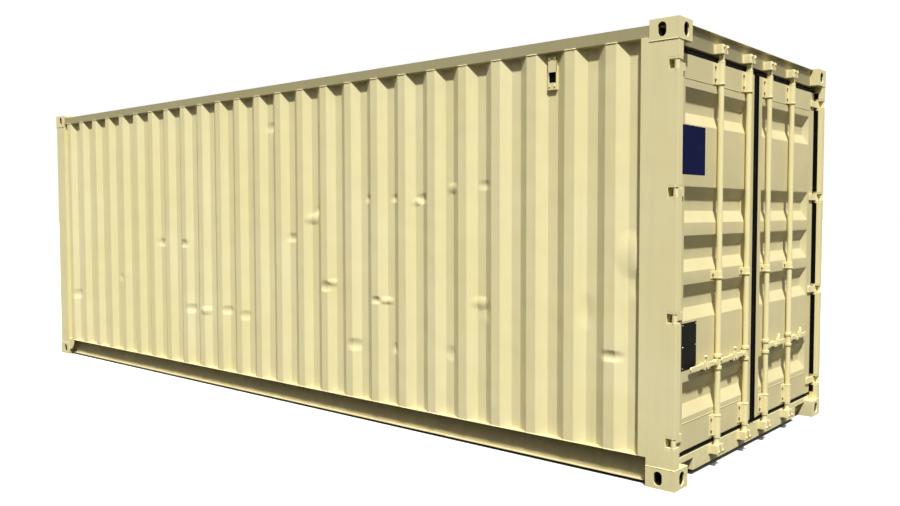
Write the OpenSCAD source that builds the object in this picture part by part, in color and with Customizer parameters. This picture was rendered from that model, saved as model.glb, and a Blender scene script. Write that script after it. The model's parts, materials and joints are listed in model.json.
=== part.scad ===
// Dry freight container of welded steel: a corrugated box between eight corner castings,
// with two hinged doors in the +X end that four turning lock bars hold shut.
// X runs along the length, Y across and Z up from the underside of the bottom castings.

/* [Overall] */
// Length over the corner castings
length = 7315; // [6000:1:9200]
// Width over the corner castings
width = 2438; // [2350:1:2500]
// Height over the corner castings
height = 2591; // [2500:1:2900]

/* [Corner castings] */
// Length of a casting along the container
casting_l = 178; // [174:1:190]
// Width of a casting across the container
casting_w = 162; // [158:1:175]
// Height of a casting
casting_h = 118; // [112:1:126]
// Thickness of the outer walls of a casting
casting_wall = 28; // [20:1:32]
// Thickness of the walls that face the frame
casting_inner_wall = 12; // [8:1:13]
// Hole centres from the end of the container
hole_from_end = 101.5; // [98:0.5:104]
// Hole centres from the side of the container
hole_from_side = 89; // [86:0.5:92]
// Length of the hole in the top or bottom face
lift_hole_l = 124.5; // [110:0.5:126]
// Width of the hole in the top or bottom face
lift_hole_w = 63.5; // [56:0.5:66]
// Width of the hole in the side face
side_hole_w = 51; // [44:0.5:56]
// Width of the hole in the end face
end_hole_w = 63.5; // [56:0.5:66]
// Height of the holes in the side and end faces
face_hole_h = 79.5; // [70:0.5:82]

/* [Base frame] */
// Clear height under the base frame
base_clear = 17; // [12:1:25]
// Height of the bottom side rails
bottom_rail_h = 148; // [140:1:160]
// Outward reach of a bottom rail's top flange
bottom_rail_top_flange = 58; // [44:1:70]
// Outward reach of a bottom rail's bottom flange
bottom_rail_low_flange = 30; // [20:1:40]
// Plate thickness of the bottom rails
bottom_rail_t = 4.5; // [3:0.5:6]
// Set-back of rails and side walls from the side of the castings
side_inset = 6; // [4:0.5:10]
// Spacing of the cross members
cross_pitch = 305; // [250:1:400]
// Flange width of a cross member
cross_flange = 45; // [35:1:60]
// Plate thickness of a cross member
cross_t = 4; // [3:0.5:6]
// Thickness of the plywood floor
floor_t = 28; // [20:1:30]
// Number of floor boards along the length
floor_rows = 6; // [4:1:8]
// Joint between floor boards
floor_joint = 2; // [1.5:0.5:4]

/* [Walls and roof] */
// Spacing of the recesses in the side walls
wall_pitch = 275.8; // [250:0.1:300]
// Middle of the first side wall recess from the door end
wall_start = 281; // [270:1:290]
// Depth of a wall recess
wall_depth = 36; // [30:1:40]
// Width of a recess's inner face
recess_inner = 70; // [60:1:80]
// Run of each sloped side of a recess
recess_slope = 68; // [50:1:80]
// Sheet thickness of the side walls and front wall
wall_t = 2; // [1.5:0.5:3]
// Spacing of the corrugations in the front wall
front_pitch = 250; // [220:1:280]
// Depth of a front wall corrugation
front_depth = 45.6; // [35:0.1:50]
// Width of a front corrugation's inner face
front_inner = 104; // [90:1:115]
// Run of a front corrugation's slope
front_slope = 18; // [12:1:30]
// Spacing of the ridges in the roof
roof_pitch = 209; // [190:1:240]
// Rise of a roof ridge
roof_rise = 20; // [12:1:24]
// Width of a roof ridge's top
roof_ridge = 91; // [80:1:100]
// Run of a roof ridge's slope
roof_slope = 13.5; // [10:0.5:25]
// Flat border of the roof over the rails
roof_border = 85; // [70:1:120]
// Sheet thickness of the roof
roof_t = 2; // [1.5:0.5:3]

/* [Top frame and posts] */
// Side of the square top rails
top_rail = 66; // [50:1:70]
// Wall thickness of the top rails
top_rail_t = 3; // [2.5:0.5:5]
// Distance from the top of the castings down to the top rails
top_rail_drop = 30; // [26:1:55]
// Plate thickness of the posts
post_t = 6; // [4:0.5:8]
// Set-back of the posts from the faces of the castings
post_inset = 2; // [1:0.5:4]
// Width of a rear post's side face
post_side_w = 228.5; // [200:0.5:240]
// Width of a rear post's end face
post_face_w = 60; // [52:1:70]
// Depth of a rear post's return beside the door
post_return = 61.5; // [58:0.5:70]
// Length of the channel inside a rear post
post_channel_l = 113; // [100:1:114]
// Thickness of the channel inside a rear post
post_channel_t = 12; // [8:1:14]
// Clear distance of the door jamb from the side of the container
jamb_from_side = 49; // [44:1:60]

/* [Door end frame] */
// Set-back of the header and sill faces from the end of the castings
header_depth = 60; // [58:1:64]
// Plate thickness of the header and sill
header_t = 4; // [3:0.5:6]
// Underside of the header below the top of the castings
header_drop = 126; // [120:1:140]
// Height of the header's face
header_h = 116; // [100:1:120]
// Reach of the lip along the header's top
eave_reach = 20; // [10:1:30]
// Top of the door sill
sill_top = 142; // [132:1:150]
// Height of the door sill's face
sill_h = 112; // [105:1:120]
// Width of the cut-outs in the sill beside the castings
sill_notch_w = 200; // [150:1:220]
// Height of the cut-outs in the sill
sill_notch_h = 75; // [60:1:80]
// Depth of the cut-outs in the sill
sill_notch_d = 50; // [30:1:70]

/* [Doors] */
// Set-back of the door faces from the end of the castings
door_depth = 54; // [50:1:56]
// Thickness of a door's frame
door_t = 50; // [40:1:60]
// Wall thickness of the door frame's box sections
door_tube_t = 3.2; // [2:0.1:5]
// Clear width between the two doors' frames
door_gap = 50; // [40:1:70]
// Gap between a door's hinge edge and the side of the container
door_from_side = 89; // [84:1:110]
// Gap between a door's lower edge and the sill
door_low_gap = 33; // [28:1:45]
// Gap between a door's upper edge and the header
door_top_gap = 42; // [34:1:55]
// Width of the stile along the hinges
hinge_stile = 100; // [80:1:120]
// Width of the stile where the doors meet
lock_stile = 80; // [60:1:100]
// Height of the door's top rail
door_top_rail = 135; // [125:1:160]
// Height of the door's bottom rail
door_low_rail = 160; // [140:1:180]
// Sheet thickness of a door panel
door_sheet_t = 2; // [1.5:0.5:3]
// Spacing of the rows of door recesses
door_pitch = 278; // [250:1:300]
// Middle of the lowest recess above the door's bottom rail
first_recess = 135; // [125:1:180]
// Sloped run at the ends of a door recess
recess_end_slope = 36; // [20:1:60]
// Border between a door recess and the stile
recess_border = 6; // [4:1:20]
// Reach of the rubber seal past a door's edges
seal_reach = 20; // [12:1:24]
// Reach of the rubber seal where the doors meet
seal_meet = 14; // [8:1:16]
// Thickness of the rubber seal
seal_t = 16; // [8:1:24]

/* [Hinges] */
// Distance of the hinge pins from the side and the end
hinge_set = 18; // [17:0.5:20]
// Middle of the lowest hinge
first_hinge = 267; // [250:1:300]
// Middle of the highest hinge below the top of the castings
last_hinge_drop = 251; // [230:1:300]
// Number of hinges on a door
hinge_count = 4; // [3:1:4]
// Radius of a hinge pin
pin_r = 8; // [6:0.5:9]
// Radial play of a hinge or handle pin
pin_play = 0.06; // [0.02:0.01:0.1]
// Radius of a hinge knuckle
knuckle_r = 15; // [13:0.5:15.5]
// Height of a hinge knuckle
knuckle_h = 46; // [36:1:60]
// Thickness of the lugs above and below a knuckle
lug_t = 12.5; // [10:0.5:16]
// Thickness of a hinge blade
blade_t = 12; // [8:1:13]
// Overlap of a hinge blade on the door
blade_on_door = 80; // [60:1:95]
// End play of a hinge knuckle
knuckle_play = 0.5; // [0.2:0.1:1]

/* [Lock gear] */
// Set-back of the lock bars' axes from the end of the castings
bar_depth = 30; // [29:0.5:31]
// Radius of a lock bar
bar_r = 17; // [14:0.5:17.5]
// Radial play of a lock bar in its brackets
bar_play = 0.3; // [0.1:0.1:0.5]
// Distance from the tip of an inner handle to the outer lock bar's axis
handle_tip_gap = 53; // [40:1:70]
// Shift of the bars and handles from the middle of the door towards its meeting edge
bar_shift = 6; // [0:1:20]
// Radius of the collars beside the end brackets
collar_r = 21; // [19:0.5:22]
// Height of a collar
collar_h = 12; // [8:1:16]
// Gap between a collar and its bracket
collar_gap = 2; // [1:0.5:4]
// Length of the tapered neck beside a cam
cam_neck = 22; // [15:1:30]
// Reach of a cam's nose from the bar's axis
cam_reach = 25; // [22:0.5:26]
// Height of a cam
cam_h = 50; // [40:1:54]
// Height of a cam keeper
keeper_h = 56; // [50:1:60]
// Middle of a keeper from the header's or sill's edge
keeper_from_edge = 32; // [30:1:44]
// Half width of the mouth between a keeper's lips
keeper_mouth = 21; // [19:0.5:22]
// Inner half width of a keeper
keeper_inner = 30; // [28:0.5:32]
// Thickness of a keeper's jaw
keeper_jaw = 10; // [8:1:20]
// Thickness of a keeper's lip
keeper_lip = 8; // [5:0.5:8]
// Play between a lock bar and its keeper's lips
keeper_play = 2; // [1:0.5:3]
// Width of a bar bracket
bracket_w = 124; // [100:1:130]
// Height of the end brackets
bracket_h = 126; // [90:1:132]
// Height of the middle guides
guide_h = 44; // [36:1:60]
// Thickness of a bracket's foot
bracket_foot = 5; // [3:0.5:6]
// Wall of a bracket round the bar
bracket_wall = 4; // [3:0.5:6]
// Step of the ring at a bracket's inner end
bracket_ring = 2; // [1:0.5:2.5]
// Height of the ring at a bracket's inner end
bracket_ring_h = 8; // [4:1:14]
// Height of the handles
handle_z = 640; // [610:1:680]
// Length of a handle from the lock bar's axis
handle_l = 372; // [320:1:400]
// Distance of a handle's pivot from the lock bar's axis
handle_pivot = 36; // [30:1:45]
// Thickness of a handle
handle_t = 10; // [8:0.5:11]
// Height of a handle's bar
handle_h = 26; // [20:1:32]
// Radius of a handle's pivot pin
handle_pin_r = 6; // [5:0.5:7]
// Side play of a handle in its cheeks
handle_play = 0.5; // [0.3:0.1:1]
// Thickness of the cheeks that hold a handle
cheek_t = 6; // [4:0.5:7]
// Reach of the cheeks above and below a handle
cheek_over = 5; // [3:1:10]
// Step of a handle's eye over its bar
eye_over = 3; // [1:0.5:6]
// Reach of a handle's pin past its cheeks
pin_over = 2; // [1:0.5:4]
// Distance of a handle's catch from the lock bar's axis
catch_from_bar = 177; // [140:1:200]
// Width of a handle's catch
catch_w = 56; // [40:1:70]
// Plate thickness of a handle's catch
catch_t = 6; // [4:0.5:6]
// Clearance between a handle and its catch
catch_gap = 2; // [1:0.5:3]
// Height of a catch's finger above its ledge
catch_finger_h = 52; // [40:1:55]
// Width of a catch's finger
catch_finger_w = 30; // [20:1:34]
// Reach of a catch's back plate below its ledge
catch_back = 30; // [15:1:40]

/* [Fittings] */
// Width of the data plate on the left door
plate_w = 190; // [150:1:220]
// Height of the data plate
plate_h = 270; // [200:1:290]
// Thickness of the data plate
plate_t = 2; // [1:0.5:3]
// Gap between the data plate and the hinge edge of the door
plate_from_edge = 87; // [82:1:100]
// Lower edge of the data plate
plate_z = 640; // [600:1:650]
// Number of recesses between the door end and a ventilator's
vent_skip_count = 2; // [1:1:5]
// Width of a ventilator cover
vent_w = 66; // [50:1:68]
// Height of a ventilator cover
vent_h = 205; // [150:1:240]
// Depth of a ventilator cover
vent_d = 16; // [10:1:24]
// Gap between a ventilator cover and the top rail
vent_top_gap = 15; // [5:1:60]
// Radius of the gussets beside the front bottom castings
gusset_r = 110; // [60:1:120]
// Length of the gussets beside the front top castings
gusset_top_l = 110; // [60:1:150]
// Gap between a top gusset and the top of its casting
gusset_top_gap = 4; // [2:1:10]
// Thickness of the corner gussets
gusset_t = 5; // [4:0.5:6]

/* [Hidden] */
$fn = 48;
cream = "#d8cc98";
rubber = "#1a1a18";
plywood = "#a07a4c";
dark_plate = "#22242a";
// Overlap that keeps cuts clean
cut = 1;
// Set-back of the hinge lugs from the faces of the castings
lug_back = 1;
end_x = length / 2;
side_y = width / 2;
// Inner faces of the castings
casting_in_x = end_x - casting_l;
casting_in_y = side_y - casting_w;
// Base frame levels
floor_top = base_clear + bottom_rail_h;
cross_h = bottom_rail_h - floor_t;
wall_y = side_y - side_inset;
rail_web_y = wall_y - bottom_rail_top_flange;
// Top frame levels
top_rail_top = height - top_rail_drop;
top_rail_low = top_rail_top - top_rail;
front_x = end_x - side_inset;
sill_depth = casting_l - header_depth;
header_face_x = end_x - header_depth;
header_low = height - header_drop;
header_top = header_low + header_h;
sill_low = sill_top - sill_h;
front_frame_in_x = front_x - top_rail;
// Side wall recesses, from the front end to the doors: the posts cut the last ones short
recess_half = recess_inner / 2 + recess_slope;
first_recess_x = end_x - wall_start;
post_edge_x = end_x - post_side_w;
recess_count = floor((first_recess_x + casting_in_x + recess_half) / wall_pitch) + 1;
recess_xs = [for (i = [recess_count - 1:-1:0]) first_recess_x - i * wall_pitch];
// Door outline
door_face_x = end_x - door_depth;
door_back_x = door_face_x - door_t;
door_hinge_y = side_y - door_from_side;
door_lock_y = door_gap / 2;
door_low = sill_top + door_low_gap;
door_top = header_low - door_top_gap;
panel_low = door_low + door_low_rail;
panel_top = door_top - door_top_rail;
panel_hinge_y = door_hinge_y - hinge_stile;
panel_lock_y = door_lock_y + lock_stile;
// Rows of the door recesses: two wide flats are left between them
row_steps = [0, 2, 3, 4, 6];
row_zs = [for (k = row_steps) panel_low + first_recess + k * door_pitch];
door_rows = [for (z = row_zs) if (z + recess_half < panel_top) z];
// Hinges
hinge_x = end_x - hinge_set;
hinge_y = side_y - hinge_set;
hinge_pitch = (height - last_hinge_drop - first_hinge) / (hinge_count - 1);
hinge_zs = [for (i = [0:hinge_count - 1]) first_hinge + i * hinge_pitch];
slot_h = knuckle_h + 2 * (lug_t + knuckle_play);
// Lock gear
bar_x = end_x - bar_depth;
bar_spacing = handle_l + handle_tip_gap;
lock_spread = bar_spacing + handle_l;
inner_bar = door_lock_y + (door_hinge_y - door_lock_y - lock_spread) / 2 - bar_shift;
outer_bar = inner_bar + bar_spacing;
bar_ys = [outer_bar, inner_bar];
keeper_zs = [sill_top - keeper_from_edge, header_low + keeper_from_edge];
bracket_zs = [door_low + door_low_rail / 2, door_top - door_top_rail / 2];
guide_z = (door_rows[1] + door_rows[2]) / 2;

// Points of a row of trapezoid waves at the given centres
function wave(centres, inner_half, outer_half, depth) = [
    for (c = centres) each [
        [c - outer_half, 0], [c - inner_half, depth], [c + inner_half, depth], [c + outer_half, 0]
    ]
];
function raised(points, t) = [for (p = points) [p[0], p[1] + t]];
function reversed(points) = [for (i = [len(points) - 1:-1:0]) points[i]];

// Cross-section of a pressed sheet along a line of points
module sheet(points, t) {
    polygon(concat(points, reversed(raised(points, t))));
}

// Copies on both sides of the middle
module both_sides() {
    children();
    mirror([0, 1, 0]) children();
}

// Copies at both ends
module both_ends() {
    children();
    mirror([1, 0, 0]) children();
}

// Solid along Y from a cross-section drawn in X and Z
module along_y(y0, y1) {
    translate([0, y1, 0]) rotate([90, 0, 0]) linear_extrude(y1 - y0) children();
}

// Solid along X from a cross-section drawn in Y and Z
module along_x(x0, x1) {
    translate([x0, 0, 0]) rotate([90, 0, 90]) linear_extrude(x1 - x0) children();
}

// Box between two corners
module block(low, high) {
    translate(low) cube(high - low);
}

// Hole with round ends, long in X
module slot_hole(l, w, h) {
    for (s = [-1, 1]) translate([s * (l - w) / 2, 0, 0]) cylinder(d = w, h = h);
    translate([-(l - w) / 2, -w / 2, 0]) cube([l - w, w, h]);
}

// Bottom casting with its outer corner at the origin
module casting() {
    inner = [casting_l - casting_wall - casting_inner_wall,
        casting_w - casting_wall - casting_inner_wall,
        casting_h - casting_wall - casting_inner_wall];
    difference() {
        cube([casting_l, casting_w, casting_h]);
        translate([1, 1, 1] * casting_wall) cube(inner);
        translate([hole_from_end, hole_from_side, -cut])
            slot_hole(lift_hole_l, lift_hole_w, casting_wall + 2 * cut);
        translate([hole_from_end, casting_wall + cut, casting_h / 2])
            rotate([90, 90, 0]) slot_hole(face_hole_h, side_hole_w, casting_wall + 2 * cut);
        translate([-cut, hole_from_side, casting_h / 2])
            rotate([0, 90, 0]) slot_hole(face_hole_h, end_hole_w, casting_wall + 2 * cut);
    }
}

module bottom_castings() {
    color(cream) both_sides() both_ends() translate([-end_x, -side_y, 0]) casting();
}

module top_castings() {
    color(cream) both_sides() both_ends()
        translate([-end_x, -side_y, height]) mirror([0, 0, 1]) casting();
}

// Channel with its flanges turned outwards
module bottom_rail() {
    t = bottom_rail_t;
    low_y = -rail_web_y - bottom_rail_low_flange;
    along_x(-casting_in_x, casting_in_x) polygon([
        [-wall_y, floor_top], [-wall_y, floor_top - t], [-rail_web_y - t, floor_top - t],
        [-rail_web_y - t, base_clear + t], [low_y, base_clear + t], [low_y, base_clear],
        [-rail_web_y, base_clear], [-rail_web_y, floor_top]
    ]);
}

module bottom_rail_left() {
    color(cream) bottom_rail();
}

module bottom_rail_right() {
    color(cream) mirror([0, 1, 0]) bottom_rail();
}

// Channels across the base, between the bottom rails
module cross_members() {
    count = floor(2 * (casting_in_x - cross_flange) / cross_pitch);
    color(cream) for (i = [0:count]) {
        x = (i - count / 2) * cross_pitch;
        along_y(-rail_web_y, rail_web_y) difference() {
            translate([x, base_clear]) square([cross_flange, cross_h]);
            translate([x + cross_t, base_clear + cross_t])
                square([cross_flange, cross_h - 2 * cross_t]);
        }
    }
}

// Plywood boards in two columns
module floor_boards() {
    board_l = 2 * casting_in_x / floor_rows;
    half_joint = floor_joint / 2;
    color(plywood) both_sides() for (i = [0:floor_rows - 1]) {
        x = -casting_in_x + i * board_l;
        block([x + half_joint, half_joint, base_clear + cross_h],
            [x + board_l - half_joint, rail_web_y, floor_top]);
    }
}

// Channel under the front wall
module front_sill() {
    t = bottom_rail_t;
    color(cream) along_y(-casting_in_y, casting_in_y) difference() {
        translate([-front_x, base_clear]) square([front_x - casting_in_x, bottom_rail_h]);
        translate([-front_x + t, base_clear + t])
            square([front_x - casting_in_x, bottom_rail_h - 2 * t]);
    }
}

// Box section under the doors, with a cut-out beside each bottom casting
module door_sill() {
    notch_top = sill_low + sill_notch_h;
    notch_x = header_face_x - sill_notch_d;
    notch_y = casting_in_y - sill_notch_w;
    color(cream) {
        difference() {
            along_y(-casting_in_y, casting_in_y) difference() {
                translate([casting_in_x, sill_low]) square([sill_depth, sill_h]);
                translate([casting_in_x + header_t, sill_low + header_t])
                    square([sill_depth - 2 * header_t, sill_h - 2 * header_t]);
            }
            both_sides() block([notch_x, notch_y, sill_low - cut],
                [header_face_x + cut, casting_in_y + cut, notch_top]);
        }
        both_sides() {
            block([notch_x - header_t, notch_y, sill_low + header_t],
                [notch_x, casting_in_y, notch_top]);
            block([notch_x - header_t, notch_y, notch_top],
                [header_face_x, casting_in_y, notch_top + header_t]);
            block([notch_x - header_t, notch_y - header_t, sill_low],
                [header_face_x, notch_y, notch_top + header_t]);
        }
    }
}

// Plate over each rear casting that carries the sill on to the post
module sill_end_plates() {
    color(cream) both_sides() block([casting_in_x, casting_in_y, casting_h],
        [header_face_x, side_y - post_face_w, sill_top]);
}

// Pressed box section at each front corner
module front_posts() {
    outer = [casting_l - post_inset, casting_w - post_inset];
    color(cream) both_sides() translate([-end_x + post_inset, -side_y + post_inset, casting_h])
        linear_extrude(height - 2 * casting_h) difference() {
            square(outer);
            translate([post_t, post_t]) square(outer - [2, 2] * post_t);
        }
}

// Pressed plate round a channel, with an edge turned in to the side wall and a slot for each hinge
module rear_posts() {
    outer_x = end_x - post_inset;
    outer_y = side_y - post_inset;
    return_x = end_x - post_return;
    face_y = side_y - post_face_w;
    jamb_y = side_y - jamb_from_side;
    lip_y = jamb_y + post_channel_t;
    plate_in_y = outer_y - post_t;
    edge_in_y = wall_y - wall_depth - 2 * wall_t;
    color(cream) both_sides() mirror([0, 1, 0]) {
        translate([0, 0, floor_top]) linear_extrude(top_rail_low - floor_top) {
            translate([post_edge_x, plate_in_y]) square([casting_in_x - post_edge_x, post_t]);
            translate([post_edge_x, edge_in_y]) square([post_t, plate_in_y - edge_in_y]);
        }
        difference() {
            translate([0, 0, casting_h]) linear_extrude(height - 2 * casting_h) {
                translate([casting_in_x, plate_in_y]) square([outer_x - casting_in_x, post_t]);
                translate([outer_x - post_t, face_y]) square([post_t, outer_y - face_y]);
                translate([return_x, face_y]) square([outer_x - return_x, post_t]);
                translate([return_x, face_y]) square([post_t, lip_y - face_y]);
                difference() {
                    translate([return_x - post_channel_l, jamb_y])
                        square([post_channel_l, plate_in_y - jamb_y]);
                    translate([return_x - post_channel_l + post_channel_t, lip_y])
                        square([post_channel_l - 2 * post_channel_t, plate_in_y]);
                }
            }
            for (z = hinge_zs)
                block([return_x + post_t / 2, face_y - cut, z - slot_h / 2],
                    [end_x + cut, side_y + cut, z + slot_h / 2]);
        }
    }
}

// Square tube along the top of a side wall
module top_side_rail() {
    along_x(-casting_in_x, casting_in_x) difference() {
        translate([-wall_y, top_rail_low]) square(top_rail);
        translate([-wall_y + top_rail_t, top_rail_low + top_rail_t])
            square(top_rail - 2 * top_rail_t);
    }
}

module top_rail_left() {
    color(cream) top_side_rail();
}

module top_rail_right() {
    color(cream) mirror([0, 1, 0]) top_side_rail();
}

// Square tube over the front wall, with the plate that joins it to the roof
module front_header() {
    color(cream) along_y(-casting_in_y, casting_in_y) {
        difference() {
            translate([-front_x, top_rail_low]) square(top_rail);
            translate([-front_x + top_rail_t, top_rail_low + top_rail_t])
                square(top_rail - 2 * top_rail_t);
        }
        translate([-front_x, top_rail_top]) square([front_x - casting_in_x, header_t]);
    }
}

// Box section over the doors, with a lip along its top
module door_header() {
    color(cream) along_y(-casting_in_y, casting_in_y) {
        difference() {
            translate([casting_in_x, header_low]) square([sill_depth, header_h]);
            translate([casting_in_x + header_t, header_low + header_t])
                square([sill_depth - 2 * header_t, header_h - 2 * header_t]);
        }
        translate([header_face_x - header_t, header_top]) square([eave_reach + header_t, header_t]);
    }
}

// Corrugated sheet between the posts and the rails
module side_wall() {
    reach = length;
    line = concat([[-reach, 0]], wave(recess_xs, recess_inner / 2, recess_half, wall_depth),
        [[reach, 0]]);
    intersection() {
        translate([0, -wall_y, floor_top])
            linear_extrude(top_rail_low - floor_top) sheet(line, wall_t);
        block([-casting_in_x, -side_y, 0], [post_edge_x, 0, height]);
    }
}

module side_wall_left() {
    color(cream) side_wall();
}

module side_wall_right() {
    color(cream) mirror([0, 1, 0]) side_wall();
}

// Corrugated sheet between the front posts
module front_wall() {
    half_w = casting_in_y;
    outer_half = front_inner / 2 + front_slope;
    count = floor((2 * half_w - 2 * outer_half) / front_pitch) + 1;
    centres = [for (i = [0:count - 1]) (i - (count - 1) / 2) * front_pitch];
    line = concat([[-half_w, 0]], wave(centres, front_inner / 2, outer_half, front_depth),
        [[half_w, 0]]);
    color(cream) translate([-front_x, 0, floor_top]) rotate([0, 0, -90])
        linear_extrude(top_rail_low - floor_top) sheet(line, wall_t);
}

// Solid under the roof's upper surface: ridges across, sloped down to a flat border
module roof_form(over) {
    ridge_half = roof_ridge / 2;
    base_half = ridge_half + roof_slope;
    count = floor((2 * casting_in_x - 2 * base_half) / roof_pitch) + 1;
    centres = [for (i = [0:count - 1]) (i - (count - 1) / 2) * roof_pitch];
    end = casting_in_x + over;
    edge_y = wall_y + over;
    border_y = wall_y - roof_border;
    depth = roof_rise + over;
    intersection() {
        along_y(-edge_y, edge_y) polygon(concat([[-end, -depth], [-end, 0]],
            wave(centres, ridge_half, base_half, roof_rise), [[end, 0], [end, -depth]]));
        along_x(-end - cut, end + cut) polygon([
            [-edge_y, -depth], [-edge_y, 0], [-border_y, 0], [roof_rise - border_y, roof_rise],
            [border_y - roof_rise, roof_rise], [border_y, 0], [edge_y, 0], [edge_y, -depth]
        ]);
    }
}

module roof() {
    color(cream) translate([0, 0, top_rail_top + roof_t]) difference() {
        roof_form(0);
        translate([0, 0, -roof_t]) roof_form(cut);
    }
}

// Plates beside the front castings: quarter-rounds under the rail's flange, wedges on the roof's edge
module corner_gussets() {
    top_h = top_rail_drop - roof_t - gusset_top_gap;
    y = gusset_t - wall_y;
    color(cream) both_sides() translate([-casting_in_x, y, 0]) rotate([90, 0, 0])
        linear_extrude(gusset_t) {
            translate([0, floor_top - bottom_rail_t]) mirror([0, 1]) intersection() {
                circle(r = gusset_r);
                square(gusset_r);
            }
            translate([0, top_rail_top + roof_t]) polygon([[0, 0], [gusset_top_l, 0], [0, top_h]]);
        }
}

// Hoods with an open lower edge, high in a wall recess
module ventilators() {
    x = first_recess_x - vent_skip_count * wall_pitch;
    y = wall_depth - wall_y;
    top = top_rail_low - vent_top_gap;
    low = top - vent_h;
    t = wall_t;
    color(cream) both_sides() difference() {
        along_x(x - vent_w / 2, x + vent_w / 2)
            polygon([[y, low], [y - vent_d, low], [y - vent_d, top - vent_d], [y, top]]);
        along_x(x - vent_w / 2 + t, x + vent_w / 2 - t) polygon([
            [y + cut, low - cut], [y - vent_d + t, low - cut],
            [y - vent_d + t, top - vent_d - t], [y + cut, top - 2 * t]
        ]);
    }
}

// Pin with a lug above and below it, in each hinge slot
module hinge_lugs() {
    lug_r = hinge_set - lug_back;
    lug_z = knuckle_h / 2 + knuckle_play;
    color(cream) both_sides() for (z = hinge_zs) translate([hinge_x, hinge_y, z]) {
        cylinder(r = pin_r, h = slot_h, center = true);
        for (s = [0, 1]) mirror([0, 0, s]) translate([0, 0, lug_z]) cylinder(r = lug_r, h = lug_t);
    }
}

// Pair of jaws that catch a cam's two noses
module keeper() {
    lip_x = bar_x + bar_r + keeper_play;
    lip_front_x = lip_x + keeper_lip;
    outer = keeper_inner + keeper_jaw;
    both_sides() linear_extrude(keeper_h, center = true) polygon([
        [header_face_x, keeper_inner], [lip_x, keeper_inner], [lip_x, keeper_mouth],
        [lip_front_x, keeper_mouth], [lip_front_x, outer - keeper_lip], [lip_x, outer],
        [header_face_x + keeper_lip, outer], [header_face_x + keeper_lip, outer + keeper_jaw],
        [header_face_x, outer + keeper_jaw]
    ]);
}

module cam_keepers() {
    color(cream) both_sides() for (y = bar_ys, z = keeper_zs) translate([0, y, z]) keeper();
}

// Frame of the left door: tubes for stiles, and channels open to the inside for rails
module door_frame() {
    t = door_tube_t;
    difference() {
        block([door_back_x, -door_hinge_y, door_low], [door_face_x, -door_lock_y, door_top]);
        block([door_back_x - cut, -panel_hinge_y, panel_low],
            [door_face_x + cut, -panel_lock_y, panel_top]);
        for (y = [[-door_hinge_y + t, -panel_hinge_y - t], [-panel_lock_y + t, -door_lock_y - t]])
            block([door_back_x + t, y[0], door_low - cut], [door_face_x - t, y[1], door_top + cut]);
        for (z = [[door_low + t, panel_low - t], [panel_top + t, door_top - t]])
            block([door_back_x - cut, -panel_hinge_y, z[0]], [door_face_x - t, -panel_lock_y, z[1]]);
    }
}

// Space in front of the panel's surface: level recesses with sloped ends
module door_recesses() {
    out_y = panel_hinge_y - recess_border;
    in_y = panel_lock_y + recess_border;
    s = recess_end_slope;
    rows = wave(door_rows, recess_inner / 2, recess_half, wall_depth);
    translate([door_face_x, 0, 0]) intersection() {
        along_y(-panel_hinge_y, -panel_lock_y) polygon(concat([[cut, panel_low], [0, panel_low]],
            [for (p = rows) [-p[1], p[0]]], [[0, panel_top], [cut, panel_top]]));
        translate([0, 0, panel_low]) linear_extrude(panel_top - panel_low) polygon([
            [cut, -panel_hinge_y], [0, -panel_hinge_y], [0, -out_y], [-wall_depth, s - out_y],
            [-wall_depth, -in_y - s], [0, -in_y], [0, -panel_lock_y], [cut, -panel_lock_y]
        ]);
    }
}

// Pressed sheet in the door's frame
module door_panel() {
    difference() {
        union() {
            block([door_face_x - door_sheet_t, -panel_hinge_y, panel_low],
                [door_face_x, -panel_lock_y, panel_top]);
            translate([-door_sheet_t, 0, 0]) door_recesses();
        }
        door_recesses();
    }
}

// Rubber strip round the door's edges
module door_seal() {
    x0 = (door_face_x + door_back_x - seal_t) / 2;
    difference() {
        block([x0, -door_hinge_y - seal_reach, door_low - seal_reach],
            [x0 + seal_t, -door_lock_y + seal_meet, door_top + seal_reach]);
        block([x0 - cut, -door_hinge_y, door_low], [x0 + seal_t + cut, -door_lock_y, door_top]);
    }
}

// Cranked blades with a knuckle on the hinge axis
module door_hinges() {
    back_x = hinge_x - knuckle_r;
    tip_y = blade_on_door - door_hinge_y;
    for (z = hinge_zs) translate([0, 0, z]) linear_extrude(knuckle_h, center = true) difference() {
        union() {
            translate([hinge_x, -hinge_y]) circle(r = knuckle_r);
            polygon([
                [back_x, -hinge_y], [back_x + blade_t, -hinge_y], [door_face_x + blade_t, -door_hinge_y],
                [door_face_x + blade_t, tip_y], [door_face_x, tip_y], [door_face_x, -door_hinge_y]
            ]);
        }
        translate([hinge_x, -hinge_y]) circle(r = pin_r + pin_play);
    }
}

// Bracket that holds a lock bar against the door, with a ring at its lower end
module bar_bracket(h) {
    bore = bar_r + bar_play;
    outer = bore + bracket_wall;
    difference() {
        union() {
            block([door_face_x, -bracket_w / 2, -h / 2],
                [door_face_x + bracket_foot, bracket_w / 2, h / 2]);
            block([door_face_x, -outer, -h / 2], [bar_x, outer, h / 2]);
            translate([bar_x, 0, -h / 2]) {
                cylinder(r = outer, h = h);
                cylinder(r = outer + bracket_ring, h = bracket_ring_h);
            }
        }
        translate([bar_x, 0, -h / 2 - cut]) cylinder(r = bore, h = h + 2 * cut);
    }
}

module door_brackets() {
    for (y = bar_ys) translate([0, -y, 0]) {
        translate([0, 0, bracket_zs[0]]) mirror([0, 0, 1]) bar_bracket(bracket_h);
        translate([0, 0, bracket_zs[1]]) bar_bracket(bracket_h);
        translate([0, 0, guide_z]) bar_bracket(guide_h);
    }
}

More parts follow.
